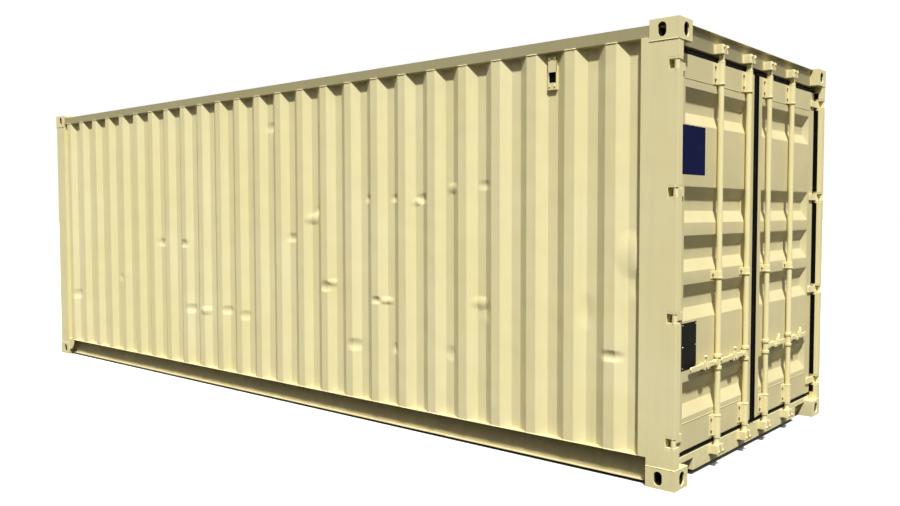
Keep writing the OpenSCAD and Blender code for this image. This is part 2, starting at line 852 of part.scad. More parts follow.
// Ledge with a lip under each handle, on a back plate, and a round-topped finger in front
module handle_catches() {
    low = handle_z - handle_h / 2 - catch_gap;
    lip_x = bar_x + handle_t / 2 + catch_gap;
    half = catch_w / 2;
    finger_r = catch_finger_w / 2;
    finger_top = catch_finger_h - finger_r;
    for (y = bar_ys) translate([0, -y - catch_from_bar, low]) {
        block([door_face_x, -half, -catch_back], [door_face_x + catch_t, half, handle_h]);
        block([door_face_x, -half, -catch_t], [lip_x + catch_t, half, 0]);
        block([lip_x, -half, -catch_t], [lip_x + catch_t, half, handle_h / 2]);
        block([lip_x, -half, 0], [lip_x + catch_t, catch_finger_w - half, finger_top]);
        translate([lip_x, finger_r - half, finger_top]) rotate([0, 90, 0])
            cylinder(r = finger_r, h = catch_t);
    }
}

// Lock bar with a cam and a collar at each end and cheeks for its handle
module lock_bar(y) {
    cheek_in = handle_t / 2 + handle_play;
    cheek_h = handle_h + 2 * cheek_over;
    pin_out = cheek_in + cheek_t + pin_over;
    collar_z = bracket_h / 2 + collar_gap;
    translate([bar_x, -y, 0]) {
        translate([0, 0, keeper_zs[0]]) cylinder(r = bar_r, h = keeper_zs[1] - keeper_zs[0]);
        for (s = [0, 1]) {
            translate([0, 0, keeper_zs[s]]) mirror([0, 0, s]) {
                linear_extrude(cam_h, center = true) intersection() {
                    circle(r = cam_reach);
                    square([2 * bar_r, 2 * cam_reach], center = true);
                }
                translate([0, 0, cam_h / 2]) cylinder(r1 = collar_r, r2 = bar_r, h = cam_neck);
            }
            translate([0, 0, bracket_zs[s]]) mirror([0, 0, 1 - s]) translate([0, 0, collar_z])
                cylinder(r = collar_r, h = collar_h);
        }
        for (s = [0, 1]) mirror([s, 0, 0]) translate([cheek_in, 0, handle_z]) {
            block([0, -handle_pivot, -cheek_h / 2], [cheek_t, 0, cheek_h / 2]);
            translate([0, -handle_pivot, 0]) rotate([0, 90, 0]) cylinder(d = cheek_h, h = cheek_t);
        }
        translate([-pin_out, -handle_pivot, handle_z]) rotate([0, 90, 0])
            cylinder(r = handle_pin_r, h = 2 * pin_out);
    }
}

// Flat lever that lies along the door
module handle(y) {
    eye_r = handle_h / 2 + eye_over;
    tip = handle_l - handle_h / 2;
    translate([bar_x - handle_t / 2, -y, handle_z]) difference() {
        union() {
            block([0, -tip, -handle_h / 2], [handle_t, -handle_pivot, handle_h / 2]);
            for (end = [[handle_pivot, eye_r], [tip, handle_h / 2]])
                translate([0, -end[0], 0]) rotate([0, 90, 0]) cylinder(r = end[1], h = handle_t);
        }
        translate([-cut, -handle_pivot, 0]) rotate([0, 90, 0])
            cylinder(r = handle_pin_r + pin_play, h = handle_t + 2 * cut);
    }
}

module data_plate() {
    y = plate_from_edge - door_hinge_y;
    color(dark_plate) block([door_face_x, y, plate_z],
        [door_face_x + plate_t, y + plate_w, plate_z + plate_h]);
}

bottom_castings();
top_castings();
bottom_rail_left();
bottom_rail_right();
cross_members();
floor_boards();
front_sill();
door_sill();
sill_end_plates();
front_posts();
rear_posts();
top_rail_left();
top_rail_right();
front_header();
door_header();
side_wall_left();
side_wall_right();
front_wall();
roof();
corner_gussets();
ventilators();
hinge_lugs();
cam_keepers();
color(cream) door_frame();  // left_door_frame
color(cream) door_panel();  // left_door_panel
color(rubber) door_seal();  // left_door_seal
color(cream) door_hinges();  // left_door_hinges
color(cream) door_brackets();  // left_bar_brackets
color(cream) handle_catches();  // left_handle_catches
data_plate();
color(cream) mirror([0, 1, 0]) door_frame();  // right_door_frame
color(cream) mirror([0, 1, 0]) door_panel();  // right_door_panel
color(rubber) mirror([0, 1, 0]) door_seal();  // right_door_seal
color(cream) mirror([0, 1, 0]) door_hinges();  // right_door_hinges
color(cream) mirror([0, 1, 0]) door_brackets();  // right_bar_brackets
color(cream) mirror([0, 1, 0]) handle_catches();  // right_handle_catches
color(cream) lock_bar(outer_bar);  // lock_bar_1
color(cream) lock_bar(inner_bar);  // lock_bar_2
color(cream) mirror([0, 1, 0]) lock_bar(inner_bar);  // lock_bar_3
color(cream) mirror([0, 1, 0]) lock_bar(outer_bar);  // lock_bar_4
color(cream) handle(outer_bar);  // handle_1
color(cream) handle(inner_bar);  // handle_2
color(cream) mirror([0, 1, 0]) handle(inner_bar);  // handle_3
color(cream) mirror([0, 1, 0]) handle(outer_bar);  // handle_4
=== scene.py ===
import json
import math

import bmesh
import bpy
from mathutils import Matrix, Vector


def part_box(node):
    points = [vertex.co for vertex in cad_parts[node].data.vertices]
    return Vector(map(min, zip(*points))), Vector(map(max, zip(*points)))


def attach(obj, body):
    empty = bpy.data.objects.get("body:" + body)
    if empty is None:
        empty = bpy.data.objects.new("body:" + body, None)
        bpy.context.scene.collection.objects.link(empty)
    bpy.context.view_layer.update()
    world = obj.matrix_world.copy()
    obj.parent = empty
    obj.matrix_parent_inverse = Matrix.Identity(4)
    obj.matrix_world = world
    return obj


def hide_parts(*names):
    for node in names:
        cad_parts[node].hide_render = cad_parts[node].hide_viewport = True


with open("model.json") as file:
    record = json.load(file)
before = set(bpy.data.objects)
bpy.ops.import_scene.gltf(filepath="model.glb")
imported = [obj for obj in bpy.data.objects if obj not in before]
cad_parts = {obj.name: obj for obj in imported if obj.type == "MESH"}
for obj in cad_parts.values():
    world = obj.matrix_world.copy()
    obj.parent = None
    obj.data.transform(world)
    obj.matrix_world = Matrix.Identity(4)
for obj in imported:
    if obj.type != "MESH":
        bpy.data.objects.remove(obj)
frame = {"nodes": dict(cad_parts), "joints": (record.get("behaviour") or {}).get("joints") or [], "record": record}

# Objects of an empty start file are not part of the container
for stray in [o for o in bpy.data.objects if o.type == "MESH" and o.name not in frame["nodes"]]:
    bpy.data.objects.remove(stray)
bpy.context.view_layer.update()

bl_info = {
    "name": "Freight Container",
    "version": (1, 0, 0),
    "blender": (4, 5, 0),
    "location": "View3D > Sidebar > Container",
    "description": "Dresses the packed freight container with paint, dents, welds and fasteners",
    "category": "Object",
}

# Dents of the left wall: place along and up, half width, half height, depth inwards, in metres
LEFT_DENTS = (
    (3.355, 1.300, 0.085, 0.150, -0.020),
    (3.400, 1.130, 0.060, 0.090, 0.010),
    (3.250, 0.710, 0.080, 0.040, 0.020),
    (3.070, 0.950, 0.050, 0.120, 0.008),
    (0.600, 1.490, 0.080, 0.050, -0.016),
    (0.655, 1.560, 0.040, 0.045, 0.012),
    (0.770, 0.975, 0.065, 0.050, 0.018),
    (0.835, 1.010, 0.050, 0.035, -0.012),
    (1.325, 0.905, 0.055, 0.032, 0.020),
    (1.405, 0.905, 0.070, 0.032, -0.018),
    (1.080, 0.560, 0.070, 0.055, 0.018),
    (1.490, 0.570, 0.045, 0.050, 0.012),
    (1.225, 1.640, 0.050, 0.038, 0.013),
    (1.490, 1.640, 0.050, 0.038, 0.014),
    (1.760, 1.635, 0.060, 0.045, 0.017),
    (1.700, 1.610, 0.045, 0.035, -0.010),
    (2.035, 1.700, 0.060, 0.045, -0.014),
    (2.300, 1.715, 0.060, 0.040, 0.011),
    (2.270, 0.950, 0.080, 0.050, -0.013),
    (2.330, 0.900, 0.050, 0.090, 0.009),
    (2.010, 0.590, 0.050, 0.060, 0.010),
    (-1.100, 0.670, 0.070, 0.050, 0.017),
    (-0.850, 0.670, 0.075, 0.045, -0.016),
    (-0.540, 0.695, 0.070, 0.045, 0.015),
    (-0.280, 0.670, 0.060, 0.050, 0.015),
    (-1.180, 1.260, 0.080, 0.045, 0.016),
    (-1.590, 1.260, 0.080, 0.045, 0.014),
    (-3.290, 0.670, 0.090, 0.060, 0.015),
    (0.090, 2.230, 0.080, 0.050, 0.012),
    (0.340, 1.340, 0.070, 0.045, 0.015),
    (-2.350, 0.900, 0.080, 0.060, 0.012),
)
RIGHT_DENTS = (
    (-2.700, 0.620, 0.080, 0.050, 0.015),
    (-1.150, 1.180, 0.090, 0.060, 0.014),
    (-0.320, 0.710, 0.070, 0.045, -0.013),
    (0.770, 1.540, 0.080, 0.050, 0.013),
    (1.600, 0.650, 0.080, 0.055, 0.016),
    (2.680, 1.010, 0.100, 0.080, 0.018),
)
# Size of the faces inside a dent, along and up
DENT_GRID = (0.018, 0.012)
# Share of a dent's depth that stays when the sheet springs back, and how softly its rim runs out
DENT_STAYS = 0.6
DENT_RIM = 1.5
# Each lock bar's body and a point on its axis
BARS = [(j["child"], j["pos_m"]) for j in frame["joints"] if j["name"].startswith("lock_bar")]
# Bracket bolts: from the bar's axis, from the brackets' ends to the middle of a pair, half of a pair
BRACKET_BOLT = (0.043, 0.063, 0.036)
# Height of the bolts of the middle guides
GUIDE_BOLT_Z = 1.165
# Catch bolts: from the bar's axis to the middle of a pair, half of a pair, and their height
CATCH_BOLT = (0.177, 0.016, 0.608)
# Thickness of the feet under these bolts
BRACKET_FOOT = 0.005
CATCH_FOOT = 0.006
# Catch hooks: from the bar's axis, height of the foot, rise, share of the rise that is straight
HOOK = (0.19, 0.634, 0.068, 0.55)
# Catch hooks: from the catch's face, and how far the tip leans back and sideways
HOOK_LEAN = (0.0035, 0.002, 0.012)
# Collars below and above a handle's pin: height and the way each faces
COLLARS = ((0.612, (0, 0, -1)), (0.668, (0, 0, 1)))
# Bosses of a cam keeper: from the bar's axis, from the keepers' ends, and how far they stand out
KEEPER_BOSS = (0.0265, 0.016, 0.008)
# Welds on the ends of the posts: how far they run across the rear and the front posts
POST_WELDS = (0.058, 0.15)
# Welds of the door header: back from its face, and short of its top
HEADER_WELD = (0.02, 0.006)
# Gasket: how far its back lies behind the seal, its front behind the doors' face, and its rounding
GASKET_BACK = 0.004
GASKET_FRONT = 0.0025
GASKET_ROUND = 0.0015
# Dark strip in the rubber finish on the jamb beside each door: its inner face, reach, depth and play at the blades
JAMB = 1.159
JAMB_REACH = (3.597, 3.627)
JAMB_DEPTH = 0.003
JAMB_PLAY = 0.02
# Plates in the hinge slots of the posts: reach along and across, and their play at the blades
SLOT_REACH = (3.6, 3.655)
SLOT_ACROSS = (1.1605, 1.2165)
SLOT_PLAY = 0.002
# Pieces of one node further apart than this are separate hinges
HINGE_APART = 0.25
# The vinyl sheet's two corners on the left door, across and up, and the rounding of its corners
VINYL_LOW = (-1.076, 1.752)
VINYL_HIGH = (-0.758, 2.029)
VINYL_ROUND = 0.006
# Cross members under the floor, width of their flanges, and screws in each
BEAMS = 23
FLANGE = 0.045
SCREWS = 12
# Half the width of the studio floor, and how far the camera sees, in metres
FLOOR_HALF = 150.0
VIEW_END = 500.0
# The gasket's black front bead where the doors meet, which stands for the seal and partly for the shade in the
# gap: from the middle out, past its front, and behind it
BEAD = (0.011, 0.027)
BEAD_RISE = 0.014
BEAD_ROOT = 0.01
# Fastener heads are turned at random by up to half a turn
HALF_TURN = math.pi
HEAD_SEED = 11
# The two sides, for someone who faces the doors, and the sign of Y on each
SIDES = (("left", -1), ("right", 1))

# Edge rounding in metres for the solids that stay as they are
ROUNDED = {
    0.006: ("bottom_castings", "top_castings"),
    0.004: (
        "bottom_rail_left", "bottom_rail_right", "front_sill", "door_sill", "sill_end_plates",
        "front_posts", "rear_posts", "top_rail_left", "top_rail_right", "front_header",
        "door_header", "left_door_frame", "right_door_frame",
    ),
    0.0025: (
        "cross_members", "cam_keepers", "hinge_lugs", "left_door_hinges", "right_door_hinges",
        "corner_gussets",
    ),
    0.0015: (
        "left_bar_brackets", "right_bar_brackets", "left_handle_catches", "right_handle_catches",
        "floor_boards", "lock_bar_1", "lock_bar_2", "lock_bar_3", "lock_bar_4",
        "handle_1", "handle_2", "handle_3", "handle_4",
    ),
    0.0006: ("data_plate",),
}
# The roof and its rails lie behind a flag, so that the high sun does not bleach them
FLAGGED = ("roof", "top_rail_left", "top_rail_right", "door_header", "front_header")
# Finishes of the painted solids by words in their names; the first that fits is used
NODE_FINISHES = {
    "casting": ("castings",),
    "rail": ("bottom_rail",),
    "worn": ("front_sill", "door_sill", "sill_end_plates", "cross_members", "cam_keepers"),
    "gear": ("bar", "handle", "hinge"),
    "door": ("door_panel", "door_frame", "door_header"),
    "wall": ("wall", "roof"),
}
# Size of a corner casting along and across, and how deep its outer skin is
CASTING = (0.178, 0.162)
CASTING_SKIN = 0.009


def tint(label, about, value):
    """A colour that a user may change, as an sRGB hex code."""
    return bpy.props.StringProperty(name=label, description=about, default=value)


def length(label, about, value):
    """A size that a user may change, in metres."""
    return bpy.props.FloatProperty(
        name=label, description=about, default=value, min=0.0, precision=4, unit="LENGTH")


def angle(label, about, degrees):
    """An angle that a user may change, given here in degrees."""
    return bpy.props.FloatProperty(
        name=label, description=about, default=math.radians(degrees), subtype="ANGLE")


def number(label, about, value):
    """A plain number that a user may change."""
    return bpy.props.FloatProperty(name=label, description=about, default=value, min=0.0)


class ContainerColours(bpy.types.PropertyGroup):
    """Colours of the container's finishes"""

    paint: tint("Paint", "Cream enamel on all steel", "#E8DCA6")
    faded: tint("Faded paint", "Enamel where the sun has bleached it", "#EFE6BB")
    # A duller, darker tone: clouds of it on the doors and header, and painted shade on the bottom rails
    dull_tone_and_shade: tint("Dull paint and shade", "Duller tone of doors and header, shade painted on the rails", "#C3B78C")
    grimed: tint("Grimed paint", "Enamel under settled road dust", "#C9BC8C")
    dirt: tint("Dirt", "Dust and splashes near the ground", "#8E8059")
    rust: tint("Rust", "Bare steel that has rusted through", "#6E4424")
    # Painted shade inside the corner castings
    casting_hollow_shade: tint("Hollow shade", "Shade painted inside the corner castings", "#2B2519")
    # Dark brown of the bolt heads on the lock gear
    bolt: tint("Bolts", "Dark brown bolts on the lock gear", "#5A4C3A")
    # Black rubber of the seal, also used as painted shade in the ventilator mouths and keeper hollows
    rubber: tint("Rubber", "Door seal, and shade painted in hollows", "#0C0C0B")
    plywood: tint("Plywood", "Face veneer of the floor boards", "#9A7448")
    plywood_dark: tint("Plywood grain", "Dark grain and scuffs of the floor", "#5F4328")
    plate: tint("Data plate", "Blank dark plate on the left door", "#12120F")
    rivet: tint("Rivets", "Aluminium rivets of the data plate", "#8C8D8A")
    vinyl: tint("Vinyl sheet", "Blank self-adhesive sheet on the left door", "#070D36")
    floor: tint("Studio floor", "Pale floor under the container", "#E9E9E6")


class ContainerSizes(bpy.types.PropertyGroup):
    """Sizes of what the scene adds to the solids"""

    sheet: length("Sheet", "Thickness of the pressed wall sheets", 0.002)
    wall_bend: length("Wall bend", "Outer radius of the bends of the side walls", 0.016)
    panel_bend: length("Panel bend", "Width of the bends of door panels, roof and front wall", 0.008)
    bead: length("Weld bead", "Radius of the weld beads on the box", 0.0035)
    door_bead: length("Door bead", "Radius of the weld beads on the doors", 0.0022)
    bead_step: length("Bead ripple", "Length of one ripple of a weld bead", 0.012)
    bolt: length("Bolt head", "Width of the bolt heads on the lock gear", 0.014)
    bolt_high: length("Bolt height", "Height of a bolt head", 0.005)
    washer: length("Washer", "Width of the washers", 0.019)
    washer_high: length("Washer height", "Thickness of the washers", 0.0015)
    rivet: length("Rivet", "Width of the rivet heads", 0.012)
    rivet_high: length("Rivet height", "Height of the rivet heads", 0.0035)
    screw: length("Floor screw", "Width of the screw heads in the floor", 0.014)
    vinyl: length("Vinyl", "Thickness of the vinyl sheet", 0.0006)
    hook: length("Hook", "Radius of the round hooks on the handle catches", 0.0085)


class ContainerStage(bpy.types.PropertyGroup):
    """Camera and light"""

    azimuth: angle("Camera azimuth", "Direction of the camera round the container", 40.83)
    elevation: angle("Camera elevation", "Height angle of the camera", 2.74)
    roll: angle("Camera roll", "Turn of the camera about its view", -0.107)
    eye: bpy.props.FloatVectorProperty(
        name="Eye", description="Place of the camera", default=(5.7408, -5.5085, 1.5414),
        subtype="TRANSLATION", unit="LENGTH")
    lens: number("Lens", "Focal length in millimetres on a sensor 36 mm wide", 34.10)
    sun_azimuth: angle("Sun azimuth", "Direction of the main light", 45.0)
    sun_elevation: angle("Sun elevation", "Height of the main light", 58.0)
    sun_size: angle("Sun size", "Softness of the main light", 3.0)
    sun: number("Sun", "Strength of the main light", 5.3)
    flagged: number("Flagged sun", "Main light on the roof and its rails, behind a flag", 1.9)
    sky: number("Sky", "Strength of the sky overhead", 1.3)
    horizon: number("Horizon", "Strength of the sky near the horizon", 0.04)
    behind: number("Behind", "How many times brighter the sky is behind the container", 1.4)
    fill: number("Fill", "Strength of the soft lamp behind the container", 2.2)
    fill_elevation: angle("Fill elevation", "Height of the lamp behind the container", 32.0)
    fill_size: angle("Fill size", "Softness of the lamp behind the container", 25.0)
    bounce: number("Bounce", "Share of the light that the floor throws back", 0.02)


def linear(code):
    """Turns an sRGB hex code into linear red, green, blue and alpha."""
    parts = [int(code[i:i + 2], 16) / 255 for i in (1, 3, 5)]
    return [c / 12.92 if c <= 0.04045 else ((c + 0.055) / 1.055) ** 2.4 for c in parts] + [1.0]


def per(millimetres):
    """Texture scale at which one feature is about this wide."""
    return 1000 / millimetres


def add(tree, kind, inputs=None, **settings):
    """Adds a node, sets its properties, and fills or links its inputs by name or number."""
    node = tree.nodes.new(kind)
    for key, value in settings.items():
        setattr(node, key, value)
    for key, value in (inputs or {}).items():
        if isinstance(value, bpy.types.NodeSocket):
            tree.links.new(value, node.inputs[key])
        else:
            node.inputs[key].default_value = value
    return node


def noise(tree, place, millimetres, detail, rough=0.5):
    """Cloudy noise whose features are about this wide."""
    return add(tree, "ShaderNodeTexNoise", {
        "Vector": place, "Scale": per(millimetres), "Detail": detail, "Roughness": rough}).outputs["Fac"]


def stretch(tree, place, *millimetres):
    """Coordinates drawn out so that noise of one unit is this long in each direction."""
    scale = [per(size) for size in millimetres]
    return add(tree, "ShaderNodeMapping", {"Vector": place, "Scale": scale}).outputs["Vector"]


def ramp(tree, value, low, high, start=0.0, end=1.0):
    """Turns the values from low to high into values from start to end."""
    return add(tree, "ShaderNodeMapRange", {
        "Value": value, "From Min": low, "From Max": high, "To Min": start, "To Max": end}).outputs[0]


def blend(tree, share, first, second):
    """Mixes two colours."""
    return add(tree, "ShaderNodeMix", {0: share, 6: first, 7: second}, data_type="RGBA").outputs[2]


def calc(tree, operation, *values):
    """One step of arithmetic on numbers or sockets."""
    return add(tree, "ShaderNodeMath", dict(enumerate(values)), operation=operation).outputs[0]


def bump(tree, strength, distance, height, **under):
    """Tilts the surface by a height, on top of another bump where one is given as Normal."""
    return add(tree, "ShaderNodeBump", {
        "Strength": strength, "Distance": distance, "Height": height, **under}).outputs["Normal"]


def blank_material(name):
    """A material with an empty tree, its Object coordinates and its output."""
    material = bpy.data.materials.new(name)
    material.use_nodes = True
    tree = material.node_tree
    tree.nodes.clear()
    place = add(tree, "ShaderNodeTexCoord").outputs["Object"]
    return material, tree, place, add(tree, "ShaderNodeOutputMaterial")


def surface(tree, out, inputs):
    """Ends the tree of a material with its one shader."""
    shader = add(tree, "ShaderNodeBsdfPrincipled", inputs)
    tree.links.new(shader.outputs[0], out.inputs[0])


def enamel(colours, name, rust_share, dirt_share, wave, dull_and_shade_share, shaded_hollows):
    """Alkyd enamel sprayed over pressed steel: satin, bleached in patches, with rain streaks."""
    material, tree, place, out = blank_material(name)
    # Bleached and dull patches about 700 mm across
    patch = noise(tree, place, 700, 4.0, 0.6)
    bleach = ramp(tree, patch, 0.45, 0.75, end=0.55)
    base = blend(tree, bleach, linear(colours.paint), linear(colours.faded))
    if dull_and_shade_share:
        # A duller, darker tone in clouds about 250 mm across; on the bottom rails, where it covers nearly all, it
        # is painted shade
        cloud = noise(tree, place, 250, 5.0, 0.6)
        dull_and_shade_amount = ramp(tree, cloud, 0.3, 0.7, dull_and_shade_share * 0.7, dull_and_shade_share)
        base = blend(tree, dull_and_shade_amount, base, linear(colours.dull_tone_and_shade))
    # Rain streaks about 50 mm wide and a metre long
    streak = noise(tree, stretch(tree, place, 50, 50, 1100), 1000, 3.0, 0.6)
    base = blend(tree, ramp(tree, streak, 0.5, 0.8, end=0.16), base, linear(colours.grimed))
    # Dust and splashes that thin out half a metre above the ground
    height = add(tree, "ShaderNodeSeparateXYZ", {0: place}).outputs["Z"]
    low = ramp(tree, height, 0.5, 0.02, end=dirt_share)
    spots = ramp(tree, noise(tree, place, 60, 6.0, 0.7), 0.38, 0.68)
    base = blend(tree, calc(tree, "MULTIPLY", low, spots), base, linear(colours.dirt))
    # Chips about 30 mm apart that have rusted through, more of them on worn pieces
    chip = noise(tree, place, 30, 8.0, 0.62)
    rusted = ramp(tree, chip, 0.76 - rust_share, 0.80 - rust_share)
    base = blend(tree, rusted, base, linear(colours.rust))
    if shaded_hollows:
        # Painted shade inside the corner castings, whose hollows are dark
        base = blend(tree, inside_castings(tree, place), base, linear(colours.casting_hollow_shade))
    rough = ramp(tree, patch, 0.3, 0.7, 0.6, 0.72)
    # Sheet steel is never quite flat, in waves about 220 mm long
    uneven = bump(tree, wave, 0.02, noise(tree, place, 220, 1.0))
    # Orange peel of the spray, drawn at 7 mm because its real 2 mm would not show
    normal = bump(tree, 0.12, 0.001, noise(tree, place, 7, 2.0), Normal=uneven)
    surface(tree, out, {
        "Base Color": base, "Roughness": rough, "IOR": 1.3, "Specular IOR Level": 0.25, "Normal": normal})
    return material


def inside_castings(tree, place):
    """One inside the hollow of a corner casting, nothing on its outer faces."""
    low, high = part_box("bottom_castings")
    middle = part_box("top_castings")[1].z / 2
    spot = add(tree, "ShaderNodeSeparateXYZ", {0: place}).outputs
    mask = 1.0
    for axis, centre, outer, size in (
            (0, 0.0, high.x, CASTING[0]), (1, 0.0, high.y, CASTING[1]),
            (2, middle, middle, high.z - low.z)):
        away = calc(tree, "ABSOLUTE", calc(tree, "SUBTRACT", spot[axis], centre))
        within = calc(tree, "COMPARE", away, outer - size / 2, size / 2 - CASTING_SKIN)
        mask = calc(tree, "MULTIPLY", mask, within)
    return mask


def bolt_steel(colours):
    """Forged steel, dark brown, mottled with a lighter brown: dull and dark."""
    material, tree, place, out = blank_material("dark_brown_forged_steel")
    skin = noise(tree, place, 6, 4.0, 0.6)
    surface(tree, out, {
        "Base Color": blend(tree, skin, linear(colours.bolt), linear(colours.dirt)), "Metallic": 0.4,
        "Roughness": 0.7, "Normal": bump(tree, 0.2, 0.0006, skin)})
    return material


def seal_rubber(colours):
    """Extruded EPDM rubber: nearly black and dull, with a bloom of dust; also used as painted shade in the
    ventilator mouths and keeper hollows.
    """
    material, tree, place, out = blank_material("extruded_rubber")
    dust = ramp(tree, noise(tree, place, 40, 5.0, 0.7), 0.55, 0.9, end=0.12)
    base = blend(tree, dust, linear(colours.rubber), linear(colours.dirt))
    normal = bump(tree, 0.2, 0.0008, noise(tree, place, 5, 3.0))
    surface(tree, out, {
        "Base Color": base, "Roughness": 0.95, "IOR": 1.3, "Specular IOR Level": 0.12, "Normal": normal})
    return material


def floor_plywood(colours):
    """Hardwood plywood with a worn varnish: long grain, darker scuffs where loads were dragged."""
    material, tree, place, out = blank_material("varnished_plywood")
    # Grain about 9 mm wide and 400 mm long
    grain = noise(tree, stretch(tree, place, 400, 9, 9), 1000, 5.0, 0.65)
    base = blend(tree, ramp(tree, grain, 0.4, 0.75, end=0.8),
                 linear(colours.plywood), linear(colours.plywood_dark))
    # Scuffs about 350 mm across, which are also less glossy
    scuff = noise(tree, place, 350, 6.0, 0.7)
    base = blend(tree, ramp(tree, scuff, 0.5, 0.75, end=0.6), base, linear(colours.dirt))
    rough = ramp(tree, scuff, 0.4, 0.7, 0.45, 0.75)
    surface(tree, out, {
        "Base Color": base, "Roughness": rough, "IOR": 1.5, "Normal": bump(tree, 0.3, 0.001, grain)})
    return material


def smooth_coat(name, code, worn_code, rough, grain_mm):
    """A thin even coat on a flat carrier: one colour, a little scuffed, with a fine surface grain."""
    material, tree, place, out = blank_material(name)
    scuff = noise(tree, place, 45, 7.0, 0.7)
    base = blend(tree, ramp(tree, scuff, 0.55, 0.9, end=0.06), linear(code), linear(worn_code))
    gloss = ramp(tree, scuff, 0.3, 0.7, rough - 0.06, rough + 0.1)
    normal = bump(tree, 0.1, 0.0006, noise(tree, place, grain_mm, 2.0))
    surface(tree, out, {
        "Base Color": base, "Roughness": gloss, "IOR": 1.3, "Specular IOR Level": 0.12, "Normal": normal})
    return material


def plate_lacquer(colours):
    return smooth_coat("lacquered_dark_plate", colours.plate, colours.grimed, 0.75, 6)


def sheet_vinyl(colours):
    return smooth_coat("self_adhesive_vinyl", colours.vinyl, colours.grimed, 0.75, 9)


def rivet_metal(colours):
    """Mill finish aluminium: pale grey metal with a soft gloss and a dull skin in the hollows."""
    material, tree, place, out = blank_material("mill_finish_aluminium")
    rough = ramp(tree, noise(tree, place, 4, 3.0), 0.3, 0.7, 0.3, 0.5)
    surface(tree, out, {"Base Color": linear(colours.rivet), "Metallic": 1.0, "Roughness": rough})
    return material


# Enamels: name of the material, share of rust, of dirt, waviness, share of the duller tone (painted shade on the
# rails), and painted shade in the hollows
ENAMELS = {
    # Sprayed enamel on the pressed sheets
    "wall": ("sprayed_enamel_on_sheet", 0.0, 0.1, 0.2, 0.0, False),
    # The same enamel on the thicker frame
    "frame": ("sprayed_enamel_on_frame", 0.0, 0.1, 0.1, 0.0, False),
    # Enamel on the doors, duller and darker in clouds
    "door": ("dulled_enamel_on_doors", 0.0, 0.1, 0.2, 0.6, False),
    # Enamel chipped by handling, near the ground
    "worn": ("worn_enamel_on_base", 0.045, 0.25, 0.1, 0.0, False),
    # Enamel on the bottom rails, darkened nearly all over as painted shade, with dust near the ground
    "rail": ("shade_darkened_enamel_on_rails", 0.05, 0.3, 0.1, 0.95, False),
    # Chipped enamel on cast steel, with painted shade inside the hollows
    "casting": ("worn_enamel_shaded_in_castings", 0.03, 0.15, 0.1, 0.0, True),
    # Thick enamel on the forged lock gear and hinges
    "gear": ("thick_enamel_on_forged_gear", 0.02, 0.1, 0.0, 0.0, False),
}
OTHER_FINISHES = {
    "bolt": bolt_steel, "rubber": seal_rubber, "plywood": floor_plywood, "plate": plate_lacquer,
    "vinyl": sheet_vinyl, "rivet": rivet_metal,
}
FINISHES = {}


def finish(key):
    """The material for a finish, made when it is first asked for."""
    if key not in FINISHES:
        colours = bpy.context.scene.container_colours
        if key in ENAMELS:
            FINISHES[key] = enamel(colours, *ENAMELS[key])
        else:
            FINISHES[key] = OTHER_FINISHES[key](colours)
    return FINISHES[key]


def finish_of(node):
    """Which finish a CAD node gets."""
    slot = next(p["material_slot"] for p in frame["record"]["subparts"] if p["node"] == node)
    if slot != "painted_steel":
        return {"seal_rubber": "rubber", "plywood": "plywood", "dark_plate": "plate"}[slot]
    for key, words in NODE_FINISHES.items():
        if any(word in node for word in words):
            return key
    return "frame"


def new_object(name, data):
    """A new object at the origin."""
    obj = bpy.data.objects.new(name, data)
    bpy.context.scene.collection.objects.link(obj)
    return obj


def piece(name, mesh, finish_key):
    """A new object at the origin with one finish."""
    mesh.name = name
    mesh.materials.clear()
    mesh.materials.append(finish(finish_key))
    return new_object(name, mesh)


def seat(obj, body, slot, *nodes):
    """Lets a piece ride on its body and hides the nodes it stands for; its finish slot is not used."""
    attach(obj, body)
    if nodes:
        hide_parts(*nodes)


def to_mesh(bm, name):
    """Turns an edited mesh into a plain one."""
    mesh = bpy.data.meshes.new(name)
    bm.to_mesh(mesh)
    bm.free()
    return mesh


def even_normals(obj):
    """Shades flat faces flat, so that only rounded edges and dents catch the light."""
    normals = obj.modifiers.new("even", "WEIGHTED_NORMAL")
    normals.weight = 100
    normals.keep_sharp = False


def bevel_edges(obj, width, degrees):
    """Rounds the edges that bend by more than this angle."""
    bevel = obj.modifiers.new("round", "BEVEL")
    bevel.width = width
    bevel.segments = 2
    bevel.limit_method = "ANGLE"
    bevel.angle_limit = math.radians(degrees)


def round_edges(obj, width):
    """Rounds the edges of a solid that stays, without touching its own mesh."""
    weld = obj.modifiers.new("join", "WELD")
    weld.merge_threshold = 0.00005
    bevel_edges(obj, width, 35)
    even_normals(obj)


def outline(node, along, across, outward):
    """Reads a pressed sheet's outer line from its node: places along it and how far out, in order."""
    points = [v.co for v in frame["nodes"][node].data.vertices]
    low = min(p.z for p in points)
    line = {}
    for p in points:
        if p.z - low < 0.0001:
            key = round(p[along], 4)
            line[key] = max(line.get(key, -math.inf), outward * p[across])
    return [Vector(pair) for pair in sorted(line.items())]


def bent(line, radius, steps):
    """Turns each bend of a line into a short curve, which takes less than half of each side."""
    straight = 0.02
    share = 0.45
    out = [line[0]]
    for before, corner, after in zip(line, line[1:], line[2:]):
        into = (corner - before).normalized()
        away = (after - corner).normalized()
        turn = into.angle(away)
        if turn < straight:
            continue
        room = share * min((corner - before).length, (after - corner).length)
        reach = min(radius * math.tan(turn / 2), room)
        start = corner - into * reach
        end = corner + away * reach
        for i in range(steps + 1):
            t = i / steps
            out.append(start * (1 - t) ** 2 + corner * 2 * t * (1 - t) + end * t ** 2)
    return out + [line[-1]]


